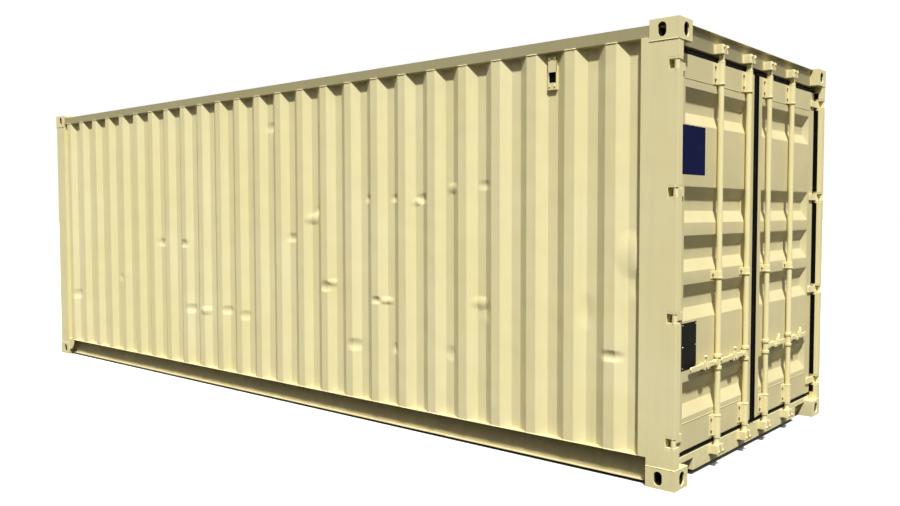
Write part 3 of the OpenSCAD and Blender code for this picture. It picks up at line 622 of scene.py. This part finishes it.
def cut_box(bm, low, high, step, axis):
    """Cuts the faces inside a box on the wall into strips across one axis."""
    other = 2 - axis
    tiny = 1e-5
    count = max(2, round((high[axis] - low[axis]) / step))
    for i in range(count + 1):
        at = low[axis] + (high[axis] - low[axis]) * i / count
        faces = [f for f in bm.faces
                 if min(v.co[axis] for v in f.verts) < at - tiny
                 and max(v.co[axis] for v in f.verts) > at + tiny
                 and max(v.co[other] for v in f.verts) > low[other] + tiny
                 and min(v.co[other] for v in f.verts) < high[other] - tiny]
        geometry = set(faces)
        for f in faces:
            geometry.update(f.edges)
            geometry.update(f.verts)
        place = Vector((at, 0, 0)) if axis == 0 else Vector((0, 0, at))
        normal = Vector((1, 0, 0)) if axis == 0 else Vector((0, 0, 1))
        bmesh.ops.bisect_plane(bm, geom=list(geometry), dist=1e-6, plane_co=place, plane_no=normal)


def corrugated(node, outward, dents, radius):
    """The pressed side wall with rounded bends, and finer faces only where a dent needs them."""
    line = bent(outline(node, 0, 1, outward), radius, 3)
    low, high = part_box(node)
    rows = [low.z + (high.z - low.z) * i / 6 for i in range(7)]
    bm = bmesh.new()
    grid = [[bm.verts.new((p.x, outward * p.y, z)) for p in line] for z in rows]
    for under, over in zip(grid, grid[1:]):
        for a, b, c, d in zip(under, under[1:], over[1:], over):
            bm.faces.new((a, b, c, d) if outward < 0 else (d, c, b, a))
    for x, z, half_x, half_z, depth in dents:
        corner = (x - half_x, 0, z - half_z)
        far = (x + half_x, 0, z + half_z)
        cut_box(bm, corner, far, DENT_GRID[1], 2)
        cut_box(bm, corner, far, DENT_GRID[0], 0)
    for v in bm.verts:
        push = 0
        for x, z, half_x, half_z, depth in dents:
            away = ((v.co.x - x) / half_x) ** 2 + ((v.co.z - z) / half_z) ** 2
            push += DENT_STAYS * depth * max(0, 1 - away) ** DENT_RIM
        v.co.y -= outward * push
    for f in bm.faces:
        f.smooth = True
    return to_mesh(bm, node)


def softened(node, width, low_deg, high_deg):
    """A copy of a pressed sheet whose bends are rounded."""
    bm = bmesh.new()
    bm.from_mesh(frame["nodes"][node].data)
    bmesh.ops.remove_doubles(bm, verts=bm.verts, dist=0.00001)
    bmesh.ops.dissolve_limit(bm, angle_limit=0.01, verts=bm.verts, edges=bm.edges)
    bends = [e for e in bm.edges if len(e.link_faces) == 2
             and math.radians(low_deg) < e.calc_face_angle() < math.radians(high_deg)]
    bmesh.ops.bevel(bm, geom=bends, offset=width, offset_type="OFFSET", segments=3, profile=0.5,
                    affect="EDGES", clamp_overlap=True)
    for f in bm.faces:
        f.smooth = True
    mesh = to_mesh(bm, node)
    mesh.set_sharp_from_angle(angle=math.radians(30))
    return mesh


def node_group(name, inputs):
    """An empty Geometry Nodes tree with these inputs, and the sockets that give them."""
    tree = bpy.data.node_groups.new(name, "GeometryNodeTree")
    for label, kind in inputs.items():
        tree.interface.new_socket(label, in_out="INPUT", socket_type="NodeSocket" + kind)
    tree.interface.new_socket("Geometry", in_out="OUTPUT", socket_type="NodeSocketGeometry")
    return tree, add(tree, "NodeGroupInput").outputs


def dressed_group(tree, given, geometry):
    """Ends a tree: its instances become one mesh, which gets the finish."""
    solid = add(tree, "GeometryNodeRealizeInstances", {0: geometry}).outputs[0]
    dressed = add(tree, "GeometryNodeSetMaterial", {"Geometry": solid, "Material": given["Finish"]})
    add(tree, "NodeGroupOutput", {0: dressed.outputs[0]})
    return tree


def fastener_tree():
    """Nodes that set a head on a washer at each point, turned to face the way the point says."""
    tree, given = node_group("fastener_heads", {
        "Places": "Geometry", "Head Width": "Float", "Head Top Width": "Float", "Head Height": "Float",
        "Washer Width": "Float", "Washer Height": "Float", "Sides": "Int", "Finish": "Material"})
    half = {label: calc(tree, "MULTIPLY", given[label], 0.5)
            for label in ("Head Width", "Head Top Width", "Washer Width")}
    washer = add(tree, "GeometryNodeMeshCone", {
        "Vertices": 16, "Radius Top": half["Washer Width"], "Radius Bottom": half["Washer Width"],
        "Depth": given["Washer Height"]}).outputs["Mesh"]
    head = add(tree, "GeometryNodeMeshCone", {
        "Vertices": given["Sides"], "Radius Top": half["Head Top Width"],
        "Radius Bottom": half["Head Width"], "Depth": given["Head Height"]}).outputs["Mesh"]
    lift = add(tree, "ShaderNodeCombineXYZ", {"Z": given["Washer Height"]}).outputs[0]
    head = add(tree, "GeometryNodeTransform", {"Geometry": head, "Translation": lift}).outputs[0]
    both = add(tree, "GeometryNodeJoinGeometry", {0: washer})
    tree.links.new(head, both.inputs[0])
    facing = add(tree, "GeometryNodeInputNamedAttribute", {"Name": "facing"}, data_type="FLOAT_VECTOR")
    upright = add(tree, "FunctionNodeAlignRotationToVector", {"Vector": facing.outputs[0]}, axis="Z")
    turn = add(tree, "FunctionNodeRandomValue", {2: 0.0, 3: HALF_TURN, 8: HEAD_SEED}, data_type="FLOAT")
    spin = add(tree, "FunctionNodeAxisAngleToRotation", {"Axis": (0, 0, 1), "Angle": turn.outputs[1]})
    turned = add(tree, "FunctionNodeRotateRotation", {
        "Rotation": upright.outputs[0], "Rotate By": spin.outputs[0]}, rotation_space="LOCAL")
    spread = add(tree, "GeometryNodeInstanceOnPoints", {
        "Points": given["Places"], "Instance": both.outputs[0], "Rotation": turned.outputs[0]})
    return dressed_group(tree, given, spread.outputs[0])


def bead_tree():
    """Nodes that lay a rippled weld bead along each line of a mesh."""
    tree, given = node_group("weld_beads", {
        "Lines": "Geometry", "Radius": "Float", "Ripple Length": "Float", "Thinnest": "Float",
        "Thickest": "Float", "Finish": "Material"})
    curve = add(tree, "GeometryNodeMeshToCurve", {"Mesh": given["Lines"]}).outputs[0]
    curve = add(tree, "GeometryNodeResampleCurve", {
        "Curve": curve, "Length": given["Ripple Length"]}, mode="LENGTH").outputs[0]
    # The bead swells and thins again over about 14 mm
    place = add(tree, "GeometryNodeInputPosition").outputs[0]
    swell = ramp(tree, noise(tree, place, 14, 1.0), 0.3, 0.7, given["Thinnest"], given["Thickest"])
    ring = add(tree, "GeometryNodeCurvePrimitiveCircle", {"Resolution": 8, "Radius": given["Radius"]})
    tube = add(tree, "GeometryNodeCurveToMesh", {
        "Curve": curve, "Profile Curve": ring.outputs[0], "Scale": swell, "Fill Caps": True}).outputs[0]
    tube = add(tree, "GeometryNodeSetShadeSmooth", {"Geometry": tube, "Shade Smooth": True}).outputs[0]
    return dressed_group(tree, given, tube)


def grown(name, source, tree, values, finish_key):
    """Runs a node tree on a source mesh and keeps the result as a plain mesh."""
    obj = new_object(name, source)
    modifier = obj.modifiers.new("grow", "NODES")
    modifier.node_group = tree
    names = {s.name: s.identifier for s in tree.interface.items_tree if s.in_out == "INPUT"}
    for label, value in values.items():
        modifier[names[label]] = value
    modifier[names["Finish"]] = finish(finish_key)
    graph = bpy.context.evaluated_depsgraph_get()
    mesh = bpy.data.meshes.new_from_object(obj.evaluated_get(graph), depsgraph=graph)
    if not mesh.polygons:
        raise RuntimeError(f"{name} came out empty")
    obj.modifiers.remove(modifier)
    obj.data = mesh
    mesh.name = name
    return obj


def heads(name, places, values, finish_key):
    """Fastener heads at places, each given as a point and the way it faces."""
    source = bpy.data.meshes.new(name + "_places")
    source.from_pydata([p for p, way in places], [], [])
    facing = source.attributes.new("facing", "FLOAT_VECTOR", "POINT")
    for i, (p, way) in enumerate(places):
        facing.data[i].vector = way
    return grown(name, source, fastener_tree(), values, finish_key)


def rods(name, lines, radius, step, swell, finish_key):
    """Round rods or beads along lines of points, between a least and a greatest thickness."""
    points = []
    edges = []
    for line in lines:
        first = len(points)
        points += [tuple(p) for p in line]
        edges += [(i, i + 1) for i in range(first, len(points) - 1)]
    source = bpy.data.meshes.new(name + "_lines")
    source.from_pydata(points, edges, [])
    values = {"Radius": radius, "Ripple Length": step, "Thinnest": swell[0], "Thickest": swell[1]}
    return grown(name, source, bead_tree(), values, finish_key)


def beads(name, lines, radius, step, finish_key):
    """Weld beads along lines of points, a quarter to a third thicker or thinner from place to place."""
    return rods(name, lines, radius, step, (0.7, 1.25), finish_key)


def head_values(width, top, high, washer, washer_high, sides):
    """Sizes of a fastener head, in the words of its node tree."""
    return {"Head Width": width, "Head Top Width": top, "Head Height": high, "Washer Width": washer,
            "Washer Height": washer_high, "Sides": sides}


def bolt_values(sizes):
    """Hexagon heads on washers."""
    return head_values(
        sizes.bolt, sizes.bolt * 0.92, sizes.bolt_high, sizes.washer, sizes.washer_high, 6)


def rivet_values(sizes, share=1.0):
    """Low round heads on a thin rim, whose width may be a share of the usual one."""
    width = sizes.rivet * share
    return head_values(width, width * 0.55, sizes.rivet_high, width * 1.15, sizes.rivet_high * 0.3, 12)


def spans(node):
    """Stretches of height that the separate pieces of a node cover."""
    found = []
    for z in sorted(v.co.z for v in frame["nodes"][node].data.vertices):
        if not found or z - found[-1][1] > HINGE_APART:
            found.append([z, z])
        found[-1][1] = z
    return found


def add_box(bm, low, high):
    """A box given by its two corners."""
    for v in bmesh.ops.create_cube(bm, size=1.0)["verts"]:
        v.co = [low[i] + (high[i] - low[i]) * (v.co[i] + 0.5) for i in range(3)]


def solid_boxes(boxes, rounding):
    """One mesh of several boxes, each given by its two corners, with rounded edges."""
    bm = bmesh.new()
    for low, high in boxes:
        add_box(bm, low, high)
    bmesh.ops.bevel(bm, geom=bm.edges[:], offset=rounding, offset_type="OFFSET", segments=2,
                    profile=0.5, affect="EDGES", clamp_overlap=True)
    bmesh.ops.recalc_face_normals(bm, faces=bm.faces)
    return to_mesh(bm, "boxes")


class CONTAINER_OT_paint(bpy.types.Operator):
    """Gives every solid its finish and rounds its edges"""

    bl_idname = "container.paint"
    bl_label = "Paint the solids"

    def execute(self, context):
        for name, obj in frame["nodes"].items():
            obj.data.materials.clear()
            obj.data.materials.append(finish(finish_of(name)))
            for polygon in obj.data.polygons:
                polygon.use_smooth = True
        for width, names in ROUNDED.items():
            for name in names:
                round_edges(frame["nodes"][name], width)
        return {"FINISHED"}


class CONTAINER_OT_side_walls(bpy.types.Operator):
    """Makes the two dented corrugated side walls"""

    bl_idname = "container.side_walls"
    bl_label = "Side walls"

    def execute(self, context):
        sizes = context.scene.container_sizes
        for side, outward, dents in (("left", -1, LEFT_DENTS), ("right", 1, RIGHT_DENTS)):
            node = "side_wall_" + side
            obj = piece("dented_wall_" + side, corrugated(node, outward, dents, sizes.wall_bend), "wall")
            thick = obj.modifiers.new("thickness", "SOLIDIFY")
            thick.thickness = sizes.sheet
            thick.offset = -1.0
            even_normals(obj)
            seat(obj, "container_box", "painted_steel", node)
        return {"FINISHED"}


class CONTAINER_OT_pressed_sheets(bpy.types.Operator):
    """Makes the door panels, the roof and the front wall with rounded bends"""

    bl_idname = "container.pressed_sheets"
    bl_label = "Pressed sheets"

    def execute(self, context):
        width = context.scene.container_sizes.panel_bend
        for node, body in (("left_door_panel", "left_door"), ("right_door_panel", "right_door"),
                           ("roof", "container_box"), ("front_wall", "container_box")):
            obj = piece("pressed_" + node, softened(node, width, 8, 80), finish_of(node))
            seat(obj, body, "painted_steel", node)
        return {"FINISHED"}


class CONTAINER_OT_gaskets(bpy.types.Operator):
    """Makes the double lipped door gaskets, the jamb strips and the plates in the hinge slots"""

    bl_idname = "container.gaskets"
    bl_label = "Door gaskets"

    def execute(self, context):
        # Section of the gasket: share of its reach, and place from its back to its front
        section = ((0, 0), (0.6, 0), (1, 0.08), (1, 0.22), (0.6, 0.32), (0.45, 0.5), (0.6, 0.68),
                   (1, 0.78), (1, 0.92), (0.6, 1), (0, 1))
        for side, sign in SIDES:
            low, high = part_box(side + "_door_seal")
            door_low, door_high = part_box(side + "_door_frame")
            back = low.x - GASKET_BACK
            front = door_high.x - GASKET_FRONT
            bm = bmesh.new()
            rings = []
            for share, along in section:
                bottom = door_low.z + (low.z - door_low.z) * share
                top = door_high.z + (high.z - door_high.z) * share
                near = door_low.y + (low.y - door_low.y) * share
                far = door_high.y + (high.y - door_high.y) * share
                x = back + (front - back) * along
                rings.append([bm.verts.new((x, y, z)) for y, z in (
                    (near, bottom), (far, bottom), (far, top), (near, top))])
            for ring, after in zip(rings, rings[1:] + rings[:1]):
                for i in range(4):
                    bm.faces.new((ring[i], ring[(i + 1) % 4], after[(i + 1) % 4], after[i]))
            # Black front bead, partly standing in for the shade in the gap between the doors
            ends = sorted(sign * y for y in BEAD)
            add_box(bm, (front - BEAD_ROOT, ends[0], door_low.z),
                    (front + BEAD_RISE, ends[1], door_high.z))
            bmesh.ops.recalc_face_normals(bm, faces=bm.faces)
            obj = piece("gasket_" + side, to_mesh(bm, "gasket"), "rubber")
            bevel_edges(obj, GASKET_ROUND, 25)
            seat(obj, side + "_door", "seal_rubber", side + "_door_seal")
        self.jambs()
        self.slots()
        return {"FINISHED"}

    def slots(self):
        """Plates that close the posts' hinge slots above and below the blades."""
        boxes = []
        for blade, lugs in zip(spans("right_door_hinges"), spans("hinge_lugs")):
            for under, over in ((lugs[0], blade[0] - SLOT_PLAY), (blade[1] + SLOT_PLAY, lugs[1])):
                for sign in (-1, 1):
                    near, far = sorted(sign * y for y in SLOT_ACROSS)
                    boxes.append(((SLOT_REACH[0], near, under), (SLOT_REACH[1], far, over)))
        plates = piece("hinge_slot_plates", solid_boxes(boxes, 0.0008), "frame")
        seat(plates, "container_box", "painted_steel")

    def jambs(self):
        """Dark strips in the rubber finish on both jambs, broken where the hinge blades pass."""
        low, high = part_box("right_door_frame")
        edges = [low.z]
        for under, over in spans("right_door_hinges"):
            edges += [under - JAMB_PLAY, over + JAMB_PLAY]
        edges.append(high.z)
        boxes = []
        for under, over in zip(edges[0::2], edges[1::2]):
            for near, far in ((JAMB - JAMB_DEPTH, JAMB), (-JAMB, JAMB_DEPTH - JAMB)):
                boxes.append(((JAMB_REACH[0], near, under), (JAMB_REACH[1], far, over)))
        strips = piece("jamb_strips", solid_boxes(boxes, 0.001), "rubber")
        seat(strips, "container_box", "seal_rubber")


class CONTAINER_OT_ventilators(bpy.types.Operator):
    """Makes the ventilator hoods, with a black sheet as painted shade in each mouth"""

    bl_idname = "container.ventilators"
    bl_label = "Ventilators"

    def execute(self, context):
        low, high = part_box("ventilators")
        depth = 0.016
        wall = 0.005
        cover = 0.003
        shade_thick = 0.002
        mouth_low = low.z + 0.042
        mouth_high = low.z + 0.105
        hoods = []
        mouth_shades = []
        for side in (-1, 1):
            inner = side * (high.y - depth)
            outer = side * high.y
            near, far = sorted((inner, outer))
            skin = sorted((outer, outer - side * cover))
            hoods.append(((low.x, skin[0], mouth_high), (high.x, skin[1], high.z)))
            hoods.append(((low.x, near, low.z), (high.x, far, mouth_low)))
            hoods.append(((low.x, near, high.z - wall), (high.x, far, high.z)))
            for x in (low.x, high.x - wall):
                hoods.append(((x, near, mouth_low), (x + wall, far, high.z - wall)))
            # A black sheet at the back of each mouth, as painted shade
            rear = sorted((inner, inner + side * shade_thick))
            mouth_shades.append(((low.x + wall, rear[0], mouth_low), (high.x - wall, rear[1], high.z - wall)))
        hood = piece("ventilator_hoods", solid_boxes(hoods, 0.0012), "gear")
        even_normals(hood)
        seat(hood, "container_box", "painted_steel", "ventilators")
        mouth_shade = piece("ventilator_screens", solid_boxes(mouth_shades, 0.0004), "rubber")
        seat(mouth_shade, "container_box", "seal_rubber")
        return {"FINISHED"}


class CONTAINER_OT_weld_beads(bpy.types.Operator):
    """Lays the weld beads of the box and of the doors"""

    bl_idname = "container.weld_beads"
    bl_label = "Weld beads"

    def execute(self, context):
        sizes = context.scene.container_sizes
        lines = []
        for node, outward in (("side_wall_left", -1), ("side_wall_right", 1)):
            low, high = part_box(node)
            line = bent(outline(node, 0, 1, outward), sizes.wall_bend, 2)
            for z in (low.z, high.z):
                lines.append([(p.x, outward * p.y, z) for p in line])
        rail_low, rail_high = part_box("bottom_rail_left")
        rear_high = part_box("rear_posts")[1]
        front_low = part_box("front_posts")[0]
        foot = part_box("bottom_castings")[1].z
        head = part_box("top_castings")[0].z
        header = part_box("door_header")[1]
        for side in (-1, 1):
            for z in (foot, head):
                y = side * rear_high.y
                for start, end, reach in ((rail_high.x, rear_high.x, POST_WELDS[0]),
                                          (rail_low.x, front_low.x, POST_WELDS[1])):
                    lines.append([(start, y, z), (end, y, z), (end, y - side * reach, z)])
            for x in (rail_low.x, rail_high.x):
                lines.append([(x, side * -rail_low.y, z) for z in (rail_low.z, foot)])
            lines.append([(header.x - HEADER_WELD[0], side * header.y, z)
                          for z in (head, header.z - HEADER_WELD[1])])
        welds = beads("weld_beads_box", lines, sizes.bead, sizes.bead_step, "frame")
        seat(welds, "container_box", "painted_steel")
        for side in ("left", "right"):
            low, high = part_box(side + "_door_panel")
            lines = [[(high.x, low.y, z), (high.x, high.y, z)] for z in (low.z, high.z)]
            welds = beads("weld_beads_" + side + "_door", lines, sizes.door_bead, sizes.bead_step, "door")
            seat(welds, side + "_door", "painted_steel")
        return {"FINISHED"}


class CONTAINER_OT_bolts(bpy.types.Operator):
    """Sets the bolts of brackets and catches and the pins of the handles"""

    bl_idname = "container.bolts"
    bl_label = "Bolts"

    def execute(self, context):
        sizes = context.scene.container_sizes
        way = (1, 0, 0)
        across, from_end, half = BRACKET_BOLT
        catch, apart, catch_z = CATCH_BOLT
        for side, sign in SIDES:
            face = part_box(side + "_door_frame")[1].x
            foot = face + BRACKET_FOOT
            low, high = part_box(side + "_bar_brackets")
            places = []
            for bar in (spot[1] for body, spot in BARS if spot[1] * sign > 0):
                for shift in (-across, across):
                    for z in (low.z + from_end, high.z - from_end):
                        places += [((foot, bar + shift, z + up), way) for up in (-half, half)]
                    places.append(((foot, bar + shift, GUIDE_BOLT_Z), way))
                for shift in (-apart, apart):
                    places.append(((face + CATCH_FOOT, bar + sign * catch + shift, catch_z), way))
            bolts = heads("bolts_" + side + "_door", places, bolt_values(sizes), "bolt")
            seat(bolts, side + "_door", "painted_steel")
        for joint in frame["joints"]:
            handle = joint["child"]
            if handle.startswith("handle"):
                place = (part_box(handle)[1].x, *joint["pos_m"][1:])
                name = handle.replace("handle", "handle_pin")
                pin = heads(name, [(place, way)], rivet_values(sizes), "gear")
                seat(pin, handle, "painted_steel")
        return {"FINISHED"}


class CONTAINER_OT_lock_gear(bpy.types.Operator):
    """Adds the hooks of the catches, the collars of the handles and the bosses of the keepers"""

    bl_idname = "container.lock_gear"
    bl_label = "Lock gear"

    def execute(self, context):
        sizes = context.scene.container_sizes
        for side, sign in SIDES:
            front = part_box(side + "_handle_catches")[1].x
            lines = [self.hook(front, spot[1] + sign * HOOK[0], sign)
                     for body, spot in BARS if spot[1] * sign > 0]
            hooks = rods("catch_hooks_" + side, lines, sizes.hook, sizes.hook, (0.95, 1.05), "gear")
            seat(hooks, side + "_door", "painted_steel")
        collar = head_values(0.040, 0.036, 0.006, 0.046, 0.016, 24)
        for body, spot in BARS:
            places = [((spot[0], spot[1], z), way) for z, way in COLLARS]
            seat(heads("collars_" + body, places, collar, "gear"), body, "painted_steel")
        low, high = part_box("cam_keepers")
        boss = head_values(0.013, 0.009, 0.004, 0.019, 0.004, 12)
        shade_dot = head_values(0.008, 0.008, 0.0006, 0.008, 0.0004, 12)
        across, from_end, proud = KEEPER_BOSS
        places = [((high.x, spot[1] + shift, z), (1, 0, 0)) for body, spot in BARS
                  for shift in (-across, across) for z in (low.z + from_end, high.z - from_end)]
        seat(heads("keeper_bosses", places, boss, "gear"), "container_box", "painted_steel")
        # Black dots on the bosses, as painted shade of their hollows
        places = [((x + proud, y, z), way) for (x, y, z), way in places]
        seat(heads("keeper_hollows", places, shade_dot, "rubber"), "container_box", "seal_rubber")
        return {"FINISHED"}

    def hook(self, front, y, sign):
        """Line of a round hook that rises in front of a handle and leans over at its tip."""
        foot, rise, straight = HOOK[1:]
        off, back, sideways = HOOK_LEAN
        steps = 12
        line = []
        for i in range(steps + 1):
            share = i / steps
            lean = max(0, share - straight) / (1 - straight)
            line.append((front + off - back * lean, y + sign * sideways * lean ** 2, foot + rise * share))
        return line


class CONTAINER_OT_rivets(bpy.types.Operator):
    """Sets the rivets of the data plate and of the ventilators"""

    bl_idname = "container.rivets"
    bl_label = "Rivets"

    def execute(self, context):
        sizes = context.scene.container_sizes
        low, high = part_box("data_plate")
        inset = 0.012
        ys = (low.y + inset, high.y - inset)
        zs = (low.z + inset, (low.z + high.z) / 2, high.z - inset)
        places = [((high.x, y, z), (1, 0, 0)) for y in ys for z in zs]
        rivets = heads("data_plate_rivets", places, rivet_values(sizes, 0.6), "rivet")
        seat(rivets, "left_door", "dark_plate")
        low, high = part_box("ventilators")
        inset = 0.014
        places = [((x, side * high.y, z), (0, side, 0)) for side in (-1, 1)
                  for x in (low.x + inset, high.x - inset) for z in (high.z - 0.02, low.z + 0.021)]
        rivets = heads("ventilator_rivets", places, rivet_values(sizes), "gear")
        seat(rivets, "container_box", "painted_steel")
        return {"FINISHED"}


class CONTAINER_OT_floor_screws(bpy.types.Operator):
    """Sets the screws that hold the floor boards to each cross member"""

    bl_idname = "container.floor_screws"
    bl_label = "Floor screws"

    def execute(self, context):
        sizes = context.scene.container_sizes
        low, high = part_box("cross_members")
        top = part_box("floor_boards")[1].z
        pitch = (high.x - low.x - FLANGE) / (BEAMS - 1)
        places = []
        for i in range(BEAMS):
            for j in range(SCREWS):
                y = low.y + (high.y - low.y) * (j + 0.5) / SCREWS
                places.append(((low.x + FLANGE / 2 + i * pitch, y, top), (0, 0, 1)))
        values = head_values(sizes.screw, sizes.screw * 0.8, 0.0006, sizes.screw * 1.05, 0.0003, 8)
        seat(heads("floor_screws", places, values, "rivet"), "container_box", "painted_steel")
        return {"FINISHED"}


class CONTAINER_OT_vinyl_sheet(bpy.types.Operator):
    """Sticks the blank vinyl sheet on the left door"""

    bl_idname = "container.vinyl_sheet"
    bl_label = "Vinyl sheet"

    def execute(self, context):
        sizes = context.scene.container_sizes
        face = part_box("left_door_frame")[1].x
        left, low = (c + VINYL_ROUND for c in VINYL_LOW)
        right, high = (c - VINYL_ROUND for c in VINYL_HIGH)
        steps = 4
        bm = bmesh.new()
        ring = []
        for quarter, (y, z) in enumerate(((right, high), (left, high), (left, low), (right, low))):
            for i in range(steps + 1):
                way = (quarter + i / steps) * HALF_TURN / 2
                ring.append(bm.verts.new(
                    (face, y + VINYL_ROUND * math.cos(way), z + VINYL_ROUND * math.sin(way))))
        sheet = bm.faces.new(ring)
        out = bmesh.ops.extrude_face_region(bm, geom=[sheet])["geom"]
        for v in out:
            if isinstance(v, bmesh.types.BMVert):
                v.co.x += sizes.vinyl
        bmesh.ops.recalc_face_normals(bm, faces=bm.faces)
        seat(piece("vinyl_sheet", to_mesh(bm, "vinyl_sheet"), "vinyl"), "left_door", "dark_plate")
        return {"FINISHED"}


class CONTAINER_OT_stage(bpy.types.Operator):
    """Sets up the camera, the light, the sky and the pale floor"""

    bl_idname = "container.stage"
    bl_label = "Stage"

    def execute(self, context):
        scene = context.scene
        stage = scene.container_stage
        scene.view_settings.view_transform = "Standard"
        camera = new_object("camera", bpy.data.cameras.new("camera"))
        camera.data.lens = stage.lens
        camera.data.sensor_width = 36.0
        camera.data.clip_end = VIEW_END
        toward = self.direction(stage.azimuth, stage.elevation)
        turn = toward.to_track_quat("Z", "Y").to_matrix() @ Matrix.Rotation(stage.roll, 3, "Z")
        camera.matrix_world = Matrix.Translation(stage.eye) @ turn.to_4x4()
        scene.camera = camera
        self.sky(scene, stage)
        floor = self.floor(scene, stage)
        roofing = [bpy.data.objects.get("pressed_" + n) or frame["nodes"][n] for n in FLAGGED]
        high = self.direction(stage.sun_azimuth, stage.sun_elevation)
        back = self.direction(stage.sun_azimuth + HALF_TURN, stage.fill_elevation)
        self.lamp("sun", stage.sun, stage.sun_size, high, roofing, "EXCLUDE")
        self.lamp("flagged_sun", stage.flagged, stage.sun_size, high, roofing, "INCLUDE")
        self.lamp("fill", stage.fill, stage.fill_size, back, roofing + [floor], "EXCLUDE")
        return {"FINISHED"}

    def direction(self, azimuth, elevation):
        """Unit vector from the container towards a light or the camera."""
        flat = math.cos(elevation)
        return Vector((math.sin(azimuth) * flat, -math.cos(azimuth) * flat, math.sin(elevation)))

    def lamp(self, name, strength, size, toward, flagged, reach):
        """A distant lamp that leaves out, or only reaches, the pieces behind its flag."""
        lamp = new_object(name, bpy.data.lights.new(name, "SUN"))
        lamp.data.energy = strength
        lamp.data.angle = size
        lamp.matrix_world = toward.to_track_quat("Z", "Y").to_matrix().to_4x4()
        group = bpy.data.collections.new(name + "_flag")
        for obj in flagged:
            group.objects.link(obj)
        for member in group.collection_objects:
            member.light_linking.link_state = reach
        lamp.light_linking.receiver_collection = group

    def shown(self, tree):
        """One for rays that show the background itself, nothing for rays that light the container."""
        rays = add(tree, "ShaderNodeLightPath").outputs
        seen = calc(tree, "MAXIMUM", rays["Is Camera Ray"], rays["Is Glossy Ray"])
        return calc(tree, "MAXIMUM", seen, rays["Is Transmission Ray"])

    def sky(self, scene, stage):
        """White to look at; as a light it is brightest overhead and behind the container."""
        world = bpy.data.worlds.new("studio")
        world.use_nodes = True
        tree = world.node_tree
        tree.nodes.clear()
        way = add(tree, "ShaderNodeTexCoord").outputs["Generated"]
        up = add(tree, "ShaderNodeSeparateXYZ", {0: way}).outputs["Z"]
        high = ramp(tree, calc(tree, "MULTIPLY", up, up), 0.0, 1.0, stage.horizon, stage.sky)
        away = add(tree, "ShaderNodeVectorMath", {
            0: way, 1: (-0.7071, 0.7071, 0)}, operation="DOT_PRODUCT").outputs["Value"]
        soft = calc(tree, "MULTIPLY", high, ramp(tree, away, 0.0, 1.0, 1.0, stage.behind))
        level = ramp(tree, self.shown(tree), 0.0, 1.0, soft, 1.0)
        light = add(tree, "ShaderNodeBackground", {"Color": (1, 1, 1, 1), "Strength": level})
        add(tree, "ShaderNodeOutputWorld", {0: light.outputs[0]})
        scene.world = world

    def floor(self, scene, stage):
        """A pale painted floor that throws little light back."""
        half = FLOOR_HALF
        mesh = bpy.data.meshes.new("floor")
        corners = [(-half, -half, 0), (half, -half, 0), (half, half, 0), (-half, half, 0)]
        mesh.from_pydata(corners, [], [(0, 1, 2, 3)])
        floor = new_object("floor", mesh)
        material, tree, place, out = blank_material("pale_studio_floor")
        pale = linear(scene.container_colours.floor)
        dim = [c * stage.bounce for c in pale[:3]] + [1.0]
        shader = add(tree, "ShaderNodeBsdfDiffuse", {"Color": blend(tree, self.shown(tree), dim, pale)})
        tree.links.new(shader.outputs[0], out.inputs[0])
        mesh.materials.append(material)
        return floor


class CONTAINER_PT_panel(bpy.types.Panel):
    """Lists the steps that dress the container"""

    bl_idname = "CONTAINER_PT_panel"
    bl_label = "Freight Container"
    bl_space_type = "VIEW_3D"
    bl_region_type = "UI"
    bl_category = "Container"

    def draw(self, context):
        for group in (context.scene.container_colours, context.scene.container_sizes,
                      context.scene.container_stage):
            box = self.layout.box()
            for key in group.__annotations__:
                box.prop(group, key)
        for step in STEPS:
            self.layout.operator(step.bl_idname)


STEPS = (
    CONTAINER_OT_paint, CONTAINER_OT_side_walls, CONTAINER_OT_pressed_sheets, CONTAINER_OT_gaskets,
    CONTAINER_OT_ventilators, CONTAINER_OT_weld_beads, CONTAINER_OT_bolts, CONTAINER_OT_lock_gear,
    CONTAINER_OT_rivets, CONTAINER_OT_floor_screws, CONTAINER_OT_vinyl_sheet, CONTAINER_OT_stage,
)
CLASSES = (ContainerColours, ContainerSizes, ContainerStage) + STEPS + (CONTAINER_PT_panel,)


def register():
    for cls in CLASSES:
        bpy.utils.register_class(cls)
    bpy.types.Scene.container_colours = bpy.props.PointerProperty(type=ContainerColours)
    bpy.types.Scene.container_sizes = bpy.props.PointerProperty(type=ContainerSizes)
    bpy.types.Scene.container_stage = bpy.props.PointerProperty(type=ContainerStage)


def unregister():
    del bpy.types.Scene.container_stage
    del bpy.types.Scene.container_sizes
    del bpy.types.Scene.container_colours
    for cls in reversed(CLASSES):
        bpy.utils.unregister_class(cls)


def main():
    register()
    bpy.ops.container.paint()
    bpy.ops.container.side_walls()
    bpy.ops.container.pressed_sheets()
    bpy.ops.container.gaskets()
    bpy.ops.container.ventilators()
    bpy.ops.container.weld_beads()
    bpy.ops.container.bolts()
    bpy.ops.container.lock_gear()
    bpy.ops.container.rivets()
    bpy.ops.container.floor_screws()
    bpy.ops.container.vinyl_sheet()
    bpy.ops.container.stage()


if __name__ == "__main__":
    main()
